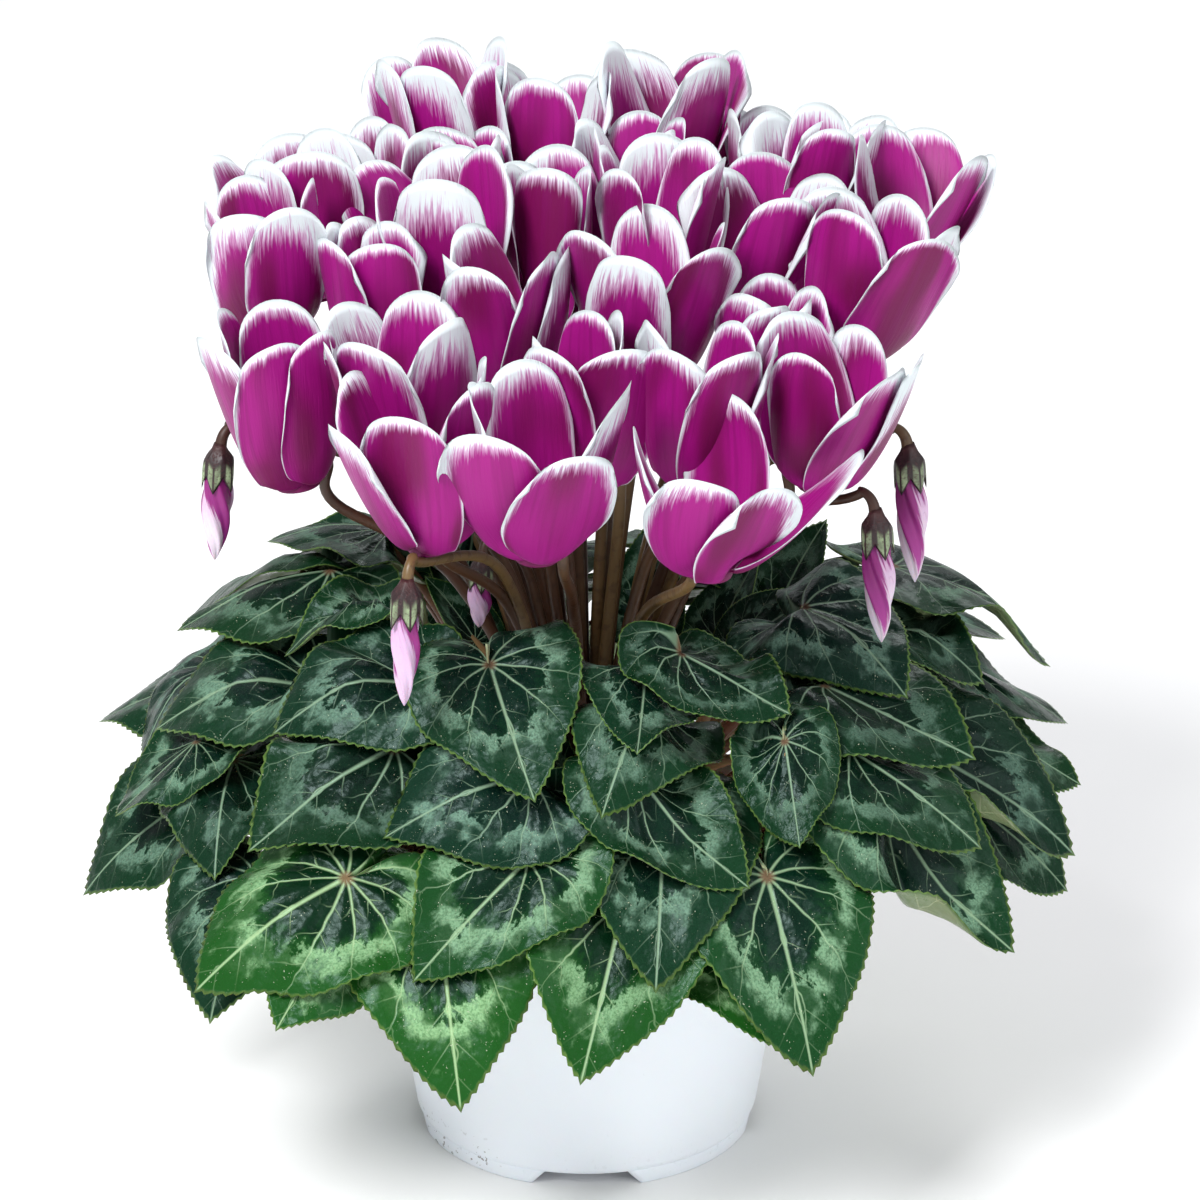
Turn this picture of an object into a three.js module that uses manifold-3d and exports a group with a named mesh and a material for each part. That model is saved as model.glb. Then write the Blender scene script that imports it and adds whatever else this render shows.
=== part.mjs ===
// A cyclamen in flower in its plain white nursery pot, in millimetres, +Z up.
// The origin is on the table, on the pot's axis, and the front of the plant faces -Y.

import * as THREE from 'three';
import { mergeVertices } from 'three/addons/utils/BufferGeometryUtils.js';
import Module from 'manifold-3d';

const wasm = await Module();
wasm.setup();

// Pot
const POT_SIDES = 28;
const WALL = 1.6;
const FOOT_HEIGHT = 4.6;
const BASE_RADIUS = 52;
const SHOULDER_RADIUS = 63.4;
const RIM_RADIUS = 65.6;
const RIM_BOTTOM = 81;
const POT_HEIGHT = 97;
const NOTCH_WIDTH = 24;
const NOTCH_COUNT = 4;

// Soil and tuber
const GAP = 0.3;
const SOIL_TOP = 86;
const TUBER_SIDES = 14;
const TUBER_RADIUS = 30;
const TUBER_BOTTOM = 58;
const TUBER_TOP = 93;

// Flowers
const PETAL_THICKNESS = 0.7;
const PETAL_COUNT = 5;
const PETAL_LENGTH = 50;
const PETAL_HALF_WIDTH = 12;
const MOUTH_RADIUS = 4.8;
const TUBE_HEIGHT = 9;
const STALK_RADIUS = 1.8;
const STALK_SIDES = 4;
const HOOK_OFFSET = 9.8;
const CALYX_RADIUS = 3.6;
const BUD_RADIUS = 3.7;

// Leaves
const LEAF_THICKNESS = 0.7;
const PETIOLE_RADIUS = 1.6;
const PETIOLE_SIDES = 3;

// The canopy that they form: its height over the table at the middle and how fast it falls, sideways
// and to the front and back. FACING is how far a blade at the side turns its face to the front.
const CANOPY_TOP = 172;
const CANOPY_FALL_X = 0.0022;
const CANOPY_FALL_Y = 0.0036;
const FACING = 0.7;

// The form of a blade, for a length of 1: it droops along its midrib, cups from side to side, folds up
// along the midrib and waves at the edge.
const DROOP = 0.18;
const CUP = 0.18;
const FOLD = 0.1;
const WAVE = 0.035;

// Leaves that lie on one another keep this clearance. The grid that finds it is tilted to the front.
const LEAF_CLEARANCE = 1.7;
const DRAPE_TILT = 22;
const DRAPE_MIDDLE = 55;
const DRAPE_STEPS = 14;
const CELL = 2;
const CELLS = 200;

// The outline of a leaf, as the angle away from its tip and the reach there for a leaf of length 1.
// The blade is measured from the point where its stalk joins it, at the bottom of the notch.
const LEAF_ANGLES = [0, 30, 65, 105, 150];
const LEAF_REACH = [1.0, 0.7, 0.58, 0.54, 0.46];
const LEAF_RINGS = [0.55, 1];

// Along its length a petal is narrow at the mouth, widest past the middle and blunt at the end. Across,
// it may wrap round the flower's axis by so many radians, on a spiral that rises so far for each.
const PETAL_ROWS = [0, 0.34, 0.72, 1];
const PETAL_WIDTHS = [0.17, 0.57, 1.0, 0.42];
const PETAL_WRAP = 0.94;
const PETAL_SPIRAL = 3.4;

// The room that petals leave each other: between flowers, in millimetres, and between the sines of
// the leans of two petals side by side.
const PETAL_MARGIN = 5;
const PETAL_STEP = 0.03;

// Blooms: the middle of the mouth (x, y, z), the turn of the stalk's side away from the plant's axis
// in degrees, how far the petals spread from upright in degrees, and the length of a petal.
const BLOOMS = [
  ['bloom_a', -82, -28, 216, 0, 14, 52],
  ['bloom_b', -50, -37, 222, -30, 20, 50],
  ['bloom_c', -43, -69, 213, 10, 24, 52],
  ['bloom_d', -13, -79, 214, -40, 26, 54],
  ['bloom_e', -2, -44, 220, 30, 10, 50],
  ['bloom_f', 34, -86, 212, 0, 36, 48],
  ['bloom_g', 32, -52, 224, -20, 14, 48],
  ['bloom_h', 66, -46, 222, 20, 20, 46],
  ['bloom_i', 50, -16, 224, -30, 8, 46],
  ['bloom_j', 78, 2, 243, -20, 18, 48],
  ['bloom_k', 92, 36, 259, 30, 30, 42],
  ['bloom_l', 68, 56, 254, -20, 18, 46],
  ['bloom_m', 55, 84, 247, 20, 16, 46],
  ['bloom_n', 25, 92, 259, -30, 22, 52],
  ['bloom_o', -10, 88, 255, 20, 20, 50],
  ['bloom_p', 14, 61, 250, -10, 12, 46],
  ['bloom_q', 21, 30, 249, 30, 16, 50],
  ['bloom_r', 52, 24, 243, -10, 20, 50],
  ['bloom_s', -10, 34, 244, 10, 10, 48],
  ['bloom_t', -38, 20, 246, -30, 18, 51],
  ['bloom_u', -20, -14, 234, 20, 16, 50],
  ['bloom_v', 15, -12, 240, -20, 20, 50],
  ['bloom_w', -41, 94, 261, 20, 20, 50],
  ['bloom_x', -34, 56, 247, -24, 8, 46],
  ['bloom_y', -80, 38, 250, 0, 22, 48],
  ['bloom_z', -88, 6, 250, 50, 14, 44],
  ['bloom_za', -65, 65, 247, -20, 10, 46],
  ['bloom_zb', -60, -2, 240, -40, 6, 44],
];

// Hanging buds: the top of the calyx (x, y, z), the side of the stalk in degrees and the length below it.
const BUDS = [
  ['bud_a', -106, -8, 214, 40, 30],
  ['bud_b', -49, -86, 203, 70, 31],
  ['bud_c', 82, -48, 209, 150, 34],
  ['bud_d', 92, -30, 222, 160, 36],
  ['bud_e', -30, -30, 188, 60, 16],
];

// Leaves, from the lowest to the highest: the node that holds the leaf, where the stalk joins the blade
// (x, y), the compass angle of the tip, the length of the blade, how far it hangs below the canopy and
// how steeply its midrib falls.
const LEAVES = [
  ['leaves_01', -95, -58, -108, 46, 34, 26],
  ['leaves_02', -68, -88, -120, 38, 28, 24],
  ['leaves_03', 38, -88, -58, 40, 36, 36],
  ['leaves_05', -41, -93, -83, 56, 24, 42],
  ['leaves_04', 11, -96, -106, 52, 22, 40],
  ['leaves_03', 51, -88, -71, 52, 20, 40],
  ['leaves_07', 114, -14, -4, 40, 34, 36],
  ['leaves_10', -112, -14, -168, 47, 30, 28],
  ['leaves_10', -103, -24, -100, 42, 24, 34],
  ['leaves_08', 116, 14, 2, 42, 24, 30],
  ['leaves_20', 74, 74, 44, 50, 24, 32],
  ['leaves_21', 36, 92, 70, 48, 24, 38],
  ['leaves_22', -6, 98, 94, 50, 24, 40],
  ['leaves_23', -44, 88, 118, 48, 24, 38],
  ['leaves_18', -80, 74, 140, 50, 22, 30],
  ['leaves_05', -67, -86, -158, 54, 26, 30],
  ['leaves_09', 84, -62, -18, 50, 24, 32],
  ['leaves_04', 22, -78, -92, 50, 16, 28],
  ['leaves_05', -16, -92, -146, 46, 20, 34],
  ['leaves_07', 98, -24, -8, 54, 18, 26],
  ['leaves_09', 75, -58, -14, 46, 14, 28],
  ['leaves_12', -54, -62, -158, 54, 14, 32],
  ['leaves_05', -16, -78, -168, 46, 14, 24],
  ['leaves_10', -114, -20, -166, 34, 20, 36],
  ['leaves_11', -110, 38, 172, 44, 12, 16],
  ['leaves_08', 110, 36, 8, 44, 12, 22],
  ['leaves_20', 54, 67, 50, 48, 12, 24],
  ['leaves_21', 22, 72, 74, 48, 12, 26],
  ['leaves_22', -8, 75, 96, 48, 12, 26],
  ['leaves_23', -34, 73, 118, 48, 18, 24],
  ['leaves_04', 14, -80, -32, 40, 14, 24],
  ['leaves_06', 18, -60, -110, 40, 12, 30],
  ['leaves_13', 68, -40, -12, 50, 10, 24],
  ['leaves_11', -112, 26, -152, 38, 8, 40],
  ['leaves_14', -78, -14, 180, 56, 12, 22],
  ['leaves_06', 17, -54, -94, 34, 9, 26],
  ['leaves_16', 80, 8, -12, 46, 6, 26],
  ['leaves_17', -76, 24, 178, 54, 8, 24],
  ['leaves_17', -82, 48, 164, 44, 0, 8],
  ['leaves_16', 84, 54, 16, 50, 0, 10],
  ['leaves_16', 92, 36, 0, 52, 0, 14],
  ['leaves_18', -62, 62, 138, 40, -2, 8],
  ['leaves_18', -60, 38, 162, 40, -2, 8],
  ['leaves_21', 30, 46, 62, 42, 2, 16],
  ['leaves_22', -2, 50, 94, 42, 2, 16],
  ['leaves_23', -34, 42, 128, 42, 2, 14],
  ['leaves_12', -48, -50, -172, 48, 4, 26],
  ['leaves_14', -61, -14, -164, 32, 0, 26],
  ['leaves_13', 56, -70, -80, 28, 0, 28],
  ['leaves_06', 27, -55, -24, 36, 0, 22],
  ['leaves_15', 63, -16, -40, 44, 0, 28],
  ['leaves_19', -27, -57, -74, 46, 0, 26],
];

// Colours
const MATERIALS = {
  pot: { color: 0xe9eef1, roughness: 0.45 },
  soil: { color: 0x3b2a1e, roughness: 1.0 },
  stalk: { color: 0x5c3328, roughness: 0.55 },
  petal: { color: 0x9a1480, roughness: 0.5 },
  bud: { color: 0xc77ab4, roughness: 0.5 },
  leaf: { color: 0x24503a, roughness: 0.55 },
};

const group = new THREE.Group();
const radians = THREE.MathUtils.degToRad;
const vec = (x, y, z) => new THREE.Vector3(x, y, z);

// Small seeded draws, so that the plant grows the same way each time.
function drawer(seed) {
  let state = seed;
  return (low, high) => {
    state = (state * 16807) % 2147483647;
    return low + (high - low) * (state / 2147483647);
  };
}

// Joining and cutting
function bare(geometry) {
  const copy = geometry.clone();
  copy.deleteAttribute('normal');
  copy.deleteAttribute('uv');
  return mergeVertices(copy, 1e-4);
}

function solid(geometry) {
  const merged = bare(geometry);
  return new wasm.Manifold(new wasm.Mesh({
    numProp: 3,
    vertProperties: new Float32Array(merged.attributes.position.array),
    triVerts: new Uint32Array(merged.index.array),
  }));
}

function unsolid(body) {
  const mesh = body.getMesh();
  const geometry = new THREE.BufferGeometry();
  geometry.setAttribute('position', new THREE.BufferAttribute(new Float32Array(mesh.vertProperties), 3));
  geometry.setIndex(new THREE.BufferAttribute(new Uint32Array(mesh.triVerts), 1));
  return geometry;
}

// Joined pieces keep their one body: a hair-thin pocket that joining seals is filled.
function join(pieces) {
  let whole = solid(pieces[0]);
  for (const piece of pieces.slice(1)) {
    whole = whole.add(solid(piece));
  }
  const [body] = whole.decompose().sort((one, other) => other.volume() - one.volume());
  return unsolid(body);
}

function addMesh(name, geometry, look) {
  const material = new THREE.MeshStandardMaterial({ metalness: 0, ...MATERIALS[look] });
  const mesh = new THREE.Mesh(geometry, material);
  mesh.name = name;
  group.add(mesh);
}

function lathe(profile, sides) {
  const points = profile.map(([radius, height]) => new THREE.Vector2(radius, height));
  const geometry = new THREE.LatheGeometry(points, sides);
  geometry.rotateX(Math.PI / 2);
  return geometry;
}

// A thin sheet of points and triangles becomes a closed blade, split alike on both faces.
function blade(points, triangles, thickness) {
  const normals = points.map(() => vec(0, 0, 0));
  const edges = new Map();
  for (const [a, b, c] of triangles) {
    const face = points[b].clone().sub(points[a]).cross(points[c].clone().sub(points[a]));
    for (const [from, to] of [[a, b], [b, c], [c, a]]) {
      normals[from].add(face);
      edges.set(`${from},${to}`, [from, to]);
    }
  }
  const count = points.length;
  const position = [];
  points.forEach((point) => position.push(point.x, point.y, point.z));
  points.forEach((point, i) => {
    const under = point.clone().addScaledVector(normals[i].normalize(), -thickness);
    position.push(under.x, under.y, under.z);
  });
  const index = [];
  for (const [a, b, c] of triangles) {
    index.push(a, b, c, count + a, count + c, count + b);
  }
  for (const [from, to] of edges.values()) {
    if (!edges.has(`${to},${from}`)) {
      index.push(from, count + from, count + to, from, count + to, to);
    }
  }
  const geometry = new THREE.BufferGeometry();
  geometry.setAttribute('position', new THREE.Float32BufferAttribute(position, 3));
  geometry.setIndex(index);
  return geometry;
}

// A closed cylinder is bent along a curve, with a radius of its own at each ring.
function tube(curve, stops, radii, sides) {
  const rings = stops.length - 1;
  const geometry = new THREE.CylinderGeometry(1, 1, 1, sides, rings);
  const merged = bare(geometry);
  const position = merged.attributes.position;
  const frames = curve.computeFrenetFrames(200, false);
  for (let i = 0; i < position.count; i += 1) {
    const ring = Math.round((position.getY(i) + 0.5) * rings);
    const along = Math.round(stops[ring] * 200);
    const centre = curve.getPointAt(along / 200);
    centre.addScaledVector(frames.normals[along], position.getX(i) * radii[ring]);
    centre.addScaledVector(frames.binormals[along], -position.getZ(i) * radii[ring]);
    position.setXYZ(i, centre.x, centre.y, centre.z);
  }
  return merged;
}

// The pot: a tapered cup with a band under its rim, on a ring foot with four gaps.
function potGeometry() {
  const profile = [
    [0, FOOT_HEIGHT], [BASE_RADIUS - 4.6, FOOT_HEIGHT], [BASE_RADIUS - 4.2, 0], [BASE_RADIUS - 1.2, 0],
    [BASE_RADIUS - 0.9, FOOT_HEIGHT], [BASE_RADIUS, FOOT_HEIGHT + 1.6], [SHOULDER_RADIUS, RIM_BOTTOM],
    [RIM_RADIUS - 0.2, RIM_BOTTOM + 0.8], [RIM_RADIUS, POT_HEIGHT], [RIM_RADIUS - WALL, POT_HEIGHT],
    [RIM_RADIUS - WALL - 0.5, RIM_BOTTOM + 2],
    [SHOULDER_RADIUS - WALL, RIM_BOTTOM], [BASE_RADIUS - WALL, FOOT_HEIGHT + 3],
    [BASE_RADIUS - WALL - 2, FOOT_HEIGHT + WALL], [0, FOOT_HEIGHT + WALL],
  ];
  let cup = solid(lathe(profile, POT_SIDES));
  for (let i = 0; i < NOTCH_COUNT; i += 1) {
    const notch = new THREE.BoxGeometry(12, NOTCH_WIDTH, FOOT_HEIGHT);
    notch.translate(BASE_RADIUS - 2, 0, -0.6 + FOOT_HEIGHT / 2);
    notch.rotateZ(-Math.PI / 2 + (i * 2 * Math.PI) / NOTCH_COUNT);
    cup = cup.subtract(solid(notch));
  }
  return unsolid(cup);
}

// The tuber: a flattened ball that stands out of the soil. Its height at a spot carries the stems.
const TUBER_PROFILE = [
  [0, TUBER_BOTTOM], [18, TUBER_BOTTOM + 1.5], [26, TUBER_BOTTOM + 7], [TUBER_RADIUS, TUBER_BOTTOM + 17],
  [TUBER_RADIUS - 1.5, TUBER_TOP - 7], [24, TUBER_TOP - 2.5], [15, TUBER_TOP - 0.6], [0, TUBER_TOP],
];

function tuberHeight(x, y) {
  const sector = (2 * Math.PI) / TUBER_SIDES;
  const turn = Math.atan2(y, x) + Math.PI / 2;
  const offset = turn - sector * (Math.floor(turn / sector) + 0.5);
  const radius = (Math.hypot(x, y) * Math.cos(offset)) / Math.cos(sector / 2);
  for (let i = TUBER_PROFILE.length - 1; i > 0; i -= 1) {
    const [inner, top] = TUBER_PROFILE[i];
    const [outer, low] = TUBER_PROFILE[i - 1];
    if (radius <= outer) {
      return top + ((low - top) * (radius - inner)) / (outer - inner);
    }
  }
  return TUBER_TOP;
}

// The soil fills the pot round the tuber, in a plain bowl, and is a little higher at the middle.
function soilGeometry() {
  const room = WALL + GAP;
  const slope = (SHOULDER_RADIUS - BASE_RADIUS) / (RIM_BOTTOM - FOOT_HEIGHT - 1.6);
  const edge = SHOULDER_RADIUS - room - 0.2;
  const bowl = TUBER_PROFILE.slice(1, 4).map(([radius, height]) => [radius + 2 * GAP, height - GAP]);
  const bottom = FOOT_HEIGHT + WALL + GAP;
  const profile = [
    [0, bottom], [BASE_RADIUS - room - 2.4, bottom], [BASE_RADIUS - room - 0.2 + slope, bottom + 3],
    [edge, SOIL_TOP - 4], [TUBER_RADIUS + 2 * GAP, SOIL_TOP + 0.5],
    ...bowl.reverse(), [0, TUBER_BOTTOM - 2 * GAP],
  ];
  return lathe(profile, POT_SIDES);
}

// A flower stands in a frame of its own: up along its axis, and out towards the side of its stalk.
function flowerFrame(x, y, z, side, lean) {
  const out = Math.atan2(y, x);
  const tilt = radians(lean);
  const up = vec(Math.sin(tilt) * Math.cos(out), Math.sin(tilt) * Math.sin(out), Math.cos(tilt));
  const across = vec(Math.cos(side), Math.sin(side), 0);
  across.addScaledVector(up, -across.dot(up)).normalize();
  const third = up.clone().cross(across);
  const frame = new THREE.Matrix4().makeBasis(across, third, up);
  frame.setPosition(x, y, z);
  return frame;
}

function bloomFrame([, x, y, z, turn]) {
  const lean = 2 + 0.07 * Math.hypot(x, y);
  return flowerFrame(x, y, z, Math.atan2(-y, -x) + radians(turn), lean);
}

// A petal leans out to half way to the neighbour on its side, and further if that stands higher or lower.
function roomFor(bloom, angle) {
  const middle = vec(0, 0, 32).applyMatrix4(bloomFrame(bloom));
  let room = 60;
  for (const other of BLOOMS) {
    const away = vec(0, 0, 32).applyMatrix4(bloomFrame(other)).sub(middle);
    const distance = Math.hypot(away.x, away.y);
    const facing = (away.x * Math.cos(angle) + away.y * Math.sin(angle)) / (distance || 1);
    if (other !== bloom && Math.abs(away.z) < 40 && facing > 0.25) {
      room = Math.min(room, distance / 2 / facing + 0.2 * Math.abs(away.z));
    }
  }
  return room;
}

// A petal bends out of the mouth and back up. Across, it curls round the flower's axis, on a spiral if
// it winds: one edge then lies outside the next petal and the other edge inside the one before.
function petalRows(frame, angle, reach, length, winding) {
  const spine = new THREE.CubicBezierCurve3(
    vec(MOUTH_RADIUS, 0, 0.4),
    vec(MOUTH_RADIUS + 3.6, 0, -2.6),
    vec(MOUTH_RADIUS + 3 + reach * length * 0.6, 0, length * 0.5),
    vec(MOUTH_RADIUS + 1 + reach * length, 0, length * Math.sqrt(1 - reach * reach)),
  );
  return PETAL_ROWS.map((v, row) => {
    const centre = spine.getPoint(v);
    const along = spine.getTangent(v);
    const outward = vec(along.z, 0, -along.x);
    const half = PETAL_HALF_WIDTH * PETAL_WIDTHS[row] * (length / PETAL_LENGTH);
    return (row ? [-1, 0, 1] : [-1, 1]).map((u) => {
      const turn = u * Math.min(half / centre.x, PETAL_WRAP);
      const radius = centre.x + winding * PETAL_SPIRAL * turn * Math.min(1, v * 3);
      const point = centre.clone().addScaledVector(outward, radius * Math.cos(turn) - centre.x);
      point.y += radius * Math.sin(turn);
      point.applyAxisAngle(vec(0, 0, 1), angle);
      return point.applyMatrix4(frame);
    });
  });
}

// A petal leans out as far as its flower spreads, but not past half way to the flower beside it. The
// widest petal lies outside both of its neighbours, and each one further round hardly leans out
// further than the one before it, whose edge lies outside its own.
function bloomPetals(bloom, seed) {
  const [spread, longest] = bloom.slice(5);
  const frame = bloomFrame(bloom);
  const draw = drawer(seed);
  const petals = [];
  for (let i = 0; i < PETAL_COUNT; i += 1) {
    const angle = radians(65 + i * 61 + (i > 0 && i < 4 ? draw(-3, 3) : 0));
    const lean = Math.sin(radians(spread * draw(0.75, 1.25)));
    const length = longest * draw(0.94, 1.03);
    const world = vec(Math.cos(angle), Math.sin(angle), 0).transformDirection(frame);
    const room = roomFor(bloom, Math.atan2(world.y, world.x));
    const free = Math.max(0.02, (room - MOUTH_RADIUS - PETAL_MARGIN) / length);
    petals.push({ angle, length, reach: Math.min(lean, free) });
  }
  const widest = petals.reduce((best, { reach }, i) => (reach > petals[best].reach ? i : best), 0);
  for (let i = widest + 1; i < PETAL_COUNT; i += 1) {
    petals[i].reach = Math.min(petals[i].reach, petals[i - 1].reach + PETAL_STEP);
  }
  for (let i = widest - 1; i >= 0; i -= 1) {
    petals[i].reach = Math.min(petals[i].reach, petals[i + 1].reach + PETAL_STEP);
  }
  return petals.map(({ angle, length, reach }, i) => {
    return petalRows(frame, angle, reach, length, Math.sign(i - widest));
  });
}

// The corolla is one sheet: a short tube under the calyx, folded over at the mouth into the petals.
function bloomGeometry(bloom, seed) {
  const frame = bloomFrame(bloom);
  const petals = bloomPetals(bloom, seed);
  const points = [vec(0, 0, TUBE_HEIGHT).applyMatrix4(frame)];
  const triangles = [];
  const starts = petals.map((rows) => {
    const start = points.length;
    points.push(...rows.flat());
    return start;
  });
  petals.forEach((petal, i) => {
    const next = (i + 1) % PETAL_COUNT;
    const start = starts[i];
    triangles.push([0, start, start + 1], [0, start + 1, starts[next]]);
    triangles.push([start + 1, start, start + 3]);
    triangles.push([start, start + 2, start + 3], [start + 1, start + 3, start + 4]);
    for (let row = 1; row < PETAL_ROWS.length - 1; row += 1) {
      for (let column = 0; column < 2; column += 1) {
        const a = start + 2 + (row - 1) * 3 + column;
        triangles.push([a + 1, a, a + 3], [a + 1, a + 3, a + 4]);
      }
    }
  });
  return blade(points, triangles, PETAL_THICKNESS);
}

// A flower stalk rises out of the tuber, bends out to its flower, passes beside the mouth between two
// petals and hooks over, down to the calyx, which is the flared end of the same stem.
function stalkCurve(frame, hook, x, y, rise) {
  const reach = Math.hypot(x, y);
  const entry = vec(...hook[0]).applyMatrix4(frame);
  const bearing = Math.atan2(entry.y, entry.x);
  const at = (radius, height) => vec(radius * Math.cos(bearing), radius * Math.sin(bearing), height);
  const foot = 2 + 0.14 * reach;
  const start = tuberHeight(foot * Math.cos(bearing), foot * Math.sin(bearing));
  const ends = hook.map((point) => vec(...point).applyMatrix4(frame));
  return new THREE.CatmullRomCurve3([
    at(foot, start - 2),
    at(foot + 0.04 * reach, start + 0.36 * (entry.z - start)),
    at(foot + 0.32 * reach, start + rise * (entry.z - start)),
    ...ends,
  ], false, 'catmullrom', 0.5);
}

const BLOOM_HOOK = [
  [HOOK_OFFSET, 1, -10], [HOOK_OFFSET, 1, 3], [HOOK_OFFSET - 1.6, 1, 12], [5, 0.5, 18],
  [0.8, 0, 16.5], [0, 0, TUBE_HEIGHT + GAP],
];
const BUD_HOOK = [
  [8, 0, -14], [8, 0, -4], [7, 0, 4], [3.6, 0, 9], [0.4, 0, 6], [0, 0, -9],
];

function stemStops(curve, spans) {
  const total = curve.getLength();
  return [0, 0.4, ...spans.map((span) => 1 - span / total), 1];
}

function bloomStalk(bloom) {
  const [, x, y] = bloom;
  const curve = stalkCurve(bloomFrame(bloom), BLOOM_HOOK, x, y, 0.78);
  const stops = stemStops(curve, [34, 19, 13, 9, 5, 4]);
  const thin = STALK_RADIUS * 0.9;
  const radii = [2.1, 1.9, STALK_RADIUS, thin, thin, thin, thin, CALYX_RADIUS - 0.4, CALYX_RADIUS];
  return tube(curve, stops, radii, STALK_SIDES);
}

function budFrame([, x, y, z, side]) {
  return flowerFrame(x, y, z, radians(side), -4);
}

function budStalk(bud) {
  const [, x, y] = bud;
  const curve = stalkCurve(budFrame(bud), BUD_HOOK, x, y, 1.1);
  const stops = stemStops(curve, [40, 26, 20, 15, 9, 4]);
  const radii = [1.9, 1.7, 1.6, 1.5, 1.5, 1.5, 2.6, 5.4, 4.2];
  return tube(curve, stops, radii, STALK_SIDES);
}

function budGeometry(bud) {
  const [, , , , , length] = bud;
  const top = -9 - GAP;
  const rows = [[3.4, 0], [BUD_RADIUS, 0.3], [BUD_RADIUS * 0.8, 0.65], [0.7, 1]];
  const drop = length - 9;
  const profile = [[0, top - drop], ...rows.map(([radius, v]) => [radius, top - drop * v]).reverse(), [0, top]];
  const geometry = lathe(profile, STALK_SIDES);
  geometry.applyMatrix4(budFrame(bud));
  return bare(geometry);
}

// The canopy is a wide dome. A leaf's blade falls from its stalk by its own pitch and leans with the
// dome from side to side.
function canopyHeight(x, y) {
  return CANOPY_TOP - CANOPY_FALL_X * x * x - CANOPY_FALL_Y * y * y;
}

function leafFrame([, x, y, heading, , drop, pitch]) {
  const [turn, fall] = [radians(heading), radians(pitch)];
  const forward = vec(Math.cos(turn) * Math.cos(fall), Math.sin(turn) * Math.cos(fall), -Math.sin(fall));
  const face = FACING * THREE.MathUtils.clamp(1 - y / 90, 0, 1);
  const side = 2 * CANOPY_FALL_X * x * Math.sin(turn) + (face - 2 * CANOPY_FALL_Y * y) * Math.cos(turn);
  const left = vec(-Math.sin(turn), Math.cos(turn), side);
  left.addScaledVector(forward, -left.dot(forward)).normalize();
  const up = forward.clone().cross(left);
  return new THREE.Matrix4().makeBasis(forward, left, up).setPosition(x, y, canopyHeight(x, y) - drop);
}

// A point of the blade before it drapes, by its angle from the tip and its share of the reach there.
function leafPoint(length, phase, degrees, reach) {
  const angle = radians(degrees);
  const a = length * reach * Math.cos(angle);
  const b = length * reach * Math.sin(angle);
  const droop = (a > 0 ? DROOP : DROOP / 2) * a * a;
  const wave = WAVE * length * reach * reach * Math.sin(3 * angle + phase);
  return vec(a, b, FOLD * Math.abs(b) - (droop + CUP * b * b) / length + wave);
}

function leafNet(leaf, phase) {
  const frame = leafFrame(leaf);
  const last = LEAF_ANGLES.length - 1;
  const points = [leafPoint(leaf[4], phase, 0, 0)];
  for (const ring of LEAF_RINGS) {
    for (let i = -last; i <= last; i += 1) {
      const degrees = Math.sign(i) * LEAF_ANGLES[Math.abs(i)];
      points.push(leafPoint(leaf[4], phase, degrees, ring * LEAF_REACH[Math.abs(i)]));
    }
  }
  return points.map((point) => point.applyMatrix4(frame));
}

const LEAF_TRIANGLES = [];
const SPOKES = 2 * LEAF_ANGLES.length - 1;
for (let i = 1; i < SPOKES; i += 1) {
  LEAF_TRIANGLES.push([0, i, i + 1], [i, i + SPOKES, i + SPOKES + 1], [i, i + SPOKES + 1, i + 1]);
}

// The leaves lie on one another, so each is draped over the ones under it: its corners are lifted
// until no spot of it is closer to them than the clearance. Up is tilted to the front for this, since
// most blades turn that way.
function drapeLeaves() {
  const tilt = radians(DRAPE_TILT);
  const above = vec(0, -Math.sin(tilt), Math.cos(tilt));
  const behind = vec(0, Math.cos(tilt), Math.sin(tilt));
  const tops = new Array(CELLS * CELLS).fill(-1000);
  const visit = (points, action) => {
    const flat = points.map((point) => vec(point.x, point.dot(behind) - DRAPE_MIDDLE, point.dot(above)));
    for (const corners of LEAF_TRIANGLES) {
      const [a, b, c] = corners.map((corner) => flat[corner]);
      for (let i = 0; i <= DRAPE_STEPS; i += 1) {
        for (let j = 0; i + j <= DRAPE_STEPS; j += 1) {
          const k = DRAPE_STEPS - i - j;
          const x = (a.x * i + b.x * j + c.x * k) / DRAPE_STEPS;
          const y = (a.y * i + b.y * j + c.y * k) / DRAPE_STEPS;
          const z = (a.z * i + b.z * j + c.z * k) / DRAPE_STEPS;
          action(corners, Math.floor(y / CELL + CELLS / 2) * CELLS + Math.floor(x / CELL + CELLS / 2), z);
        }
      }
    }
  };
  return LEAVES.map((leaf, order) => {
    const points = leafNet(leaf, radians((order * 137) % 360));
    const lifts = points.map(() => 0);
    visit(points, (corners, cell, height) => {
      for (const corner of corners) {
        lifts[corner] = Math.max(lifts[corner], tops[cell] + LEAF_CLEARANCE - height);
      }
    });
    points.forEach((point, i) => point.addScaledVector(above, lifts[i]));
    visit(points, (corners, cell, height) => {
      tops[cell] = Math.max(tops[cell], height);
    });
    return { name: leaf[0], points };
  });
}

// The stalks of the leaves of one node leave the tuber together, at one growing point.
function growingPoint(leaves) {
  const middle = vec(0, 0, 0);
  leaves.forEach(({ points }) => middle.addScaledVector(points[0], 1 / leaves.length));
  const out = middle.setZ(0).clone().setLength(11 + 0.14 * middle.length());
  return out.setZ(tuberHeight(out.x, out.y) + 1);
}

// A leaf's stalk ends inside its blade, just beside the notch.
function leafJoint(points) {
  const joint = vec(0, 0, -0.5).addScaledVector(points[0], 0.78);
  return joint.addScaledVector(points[SPOKES / 2 + 0.5], 0.11).addScaledVector(points[SPOKES / 2 + 1.5], 0.11);
}

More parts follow.
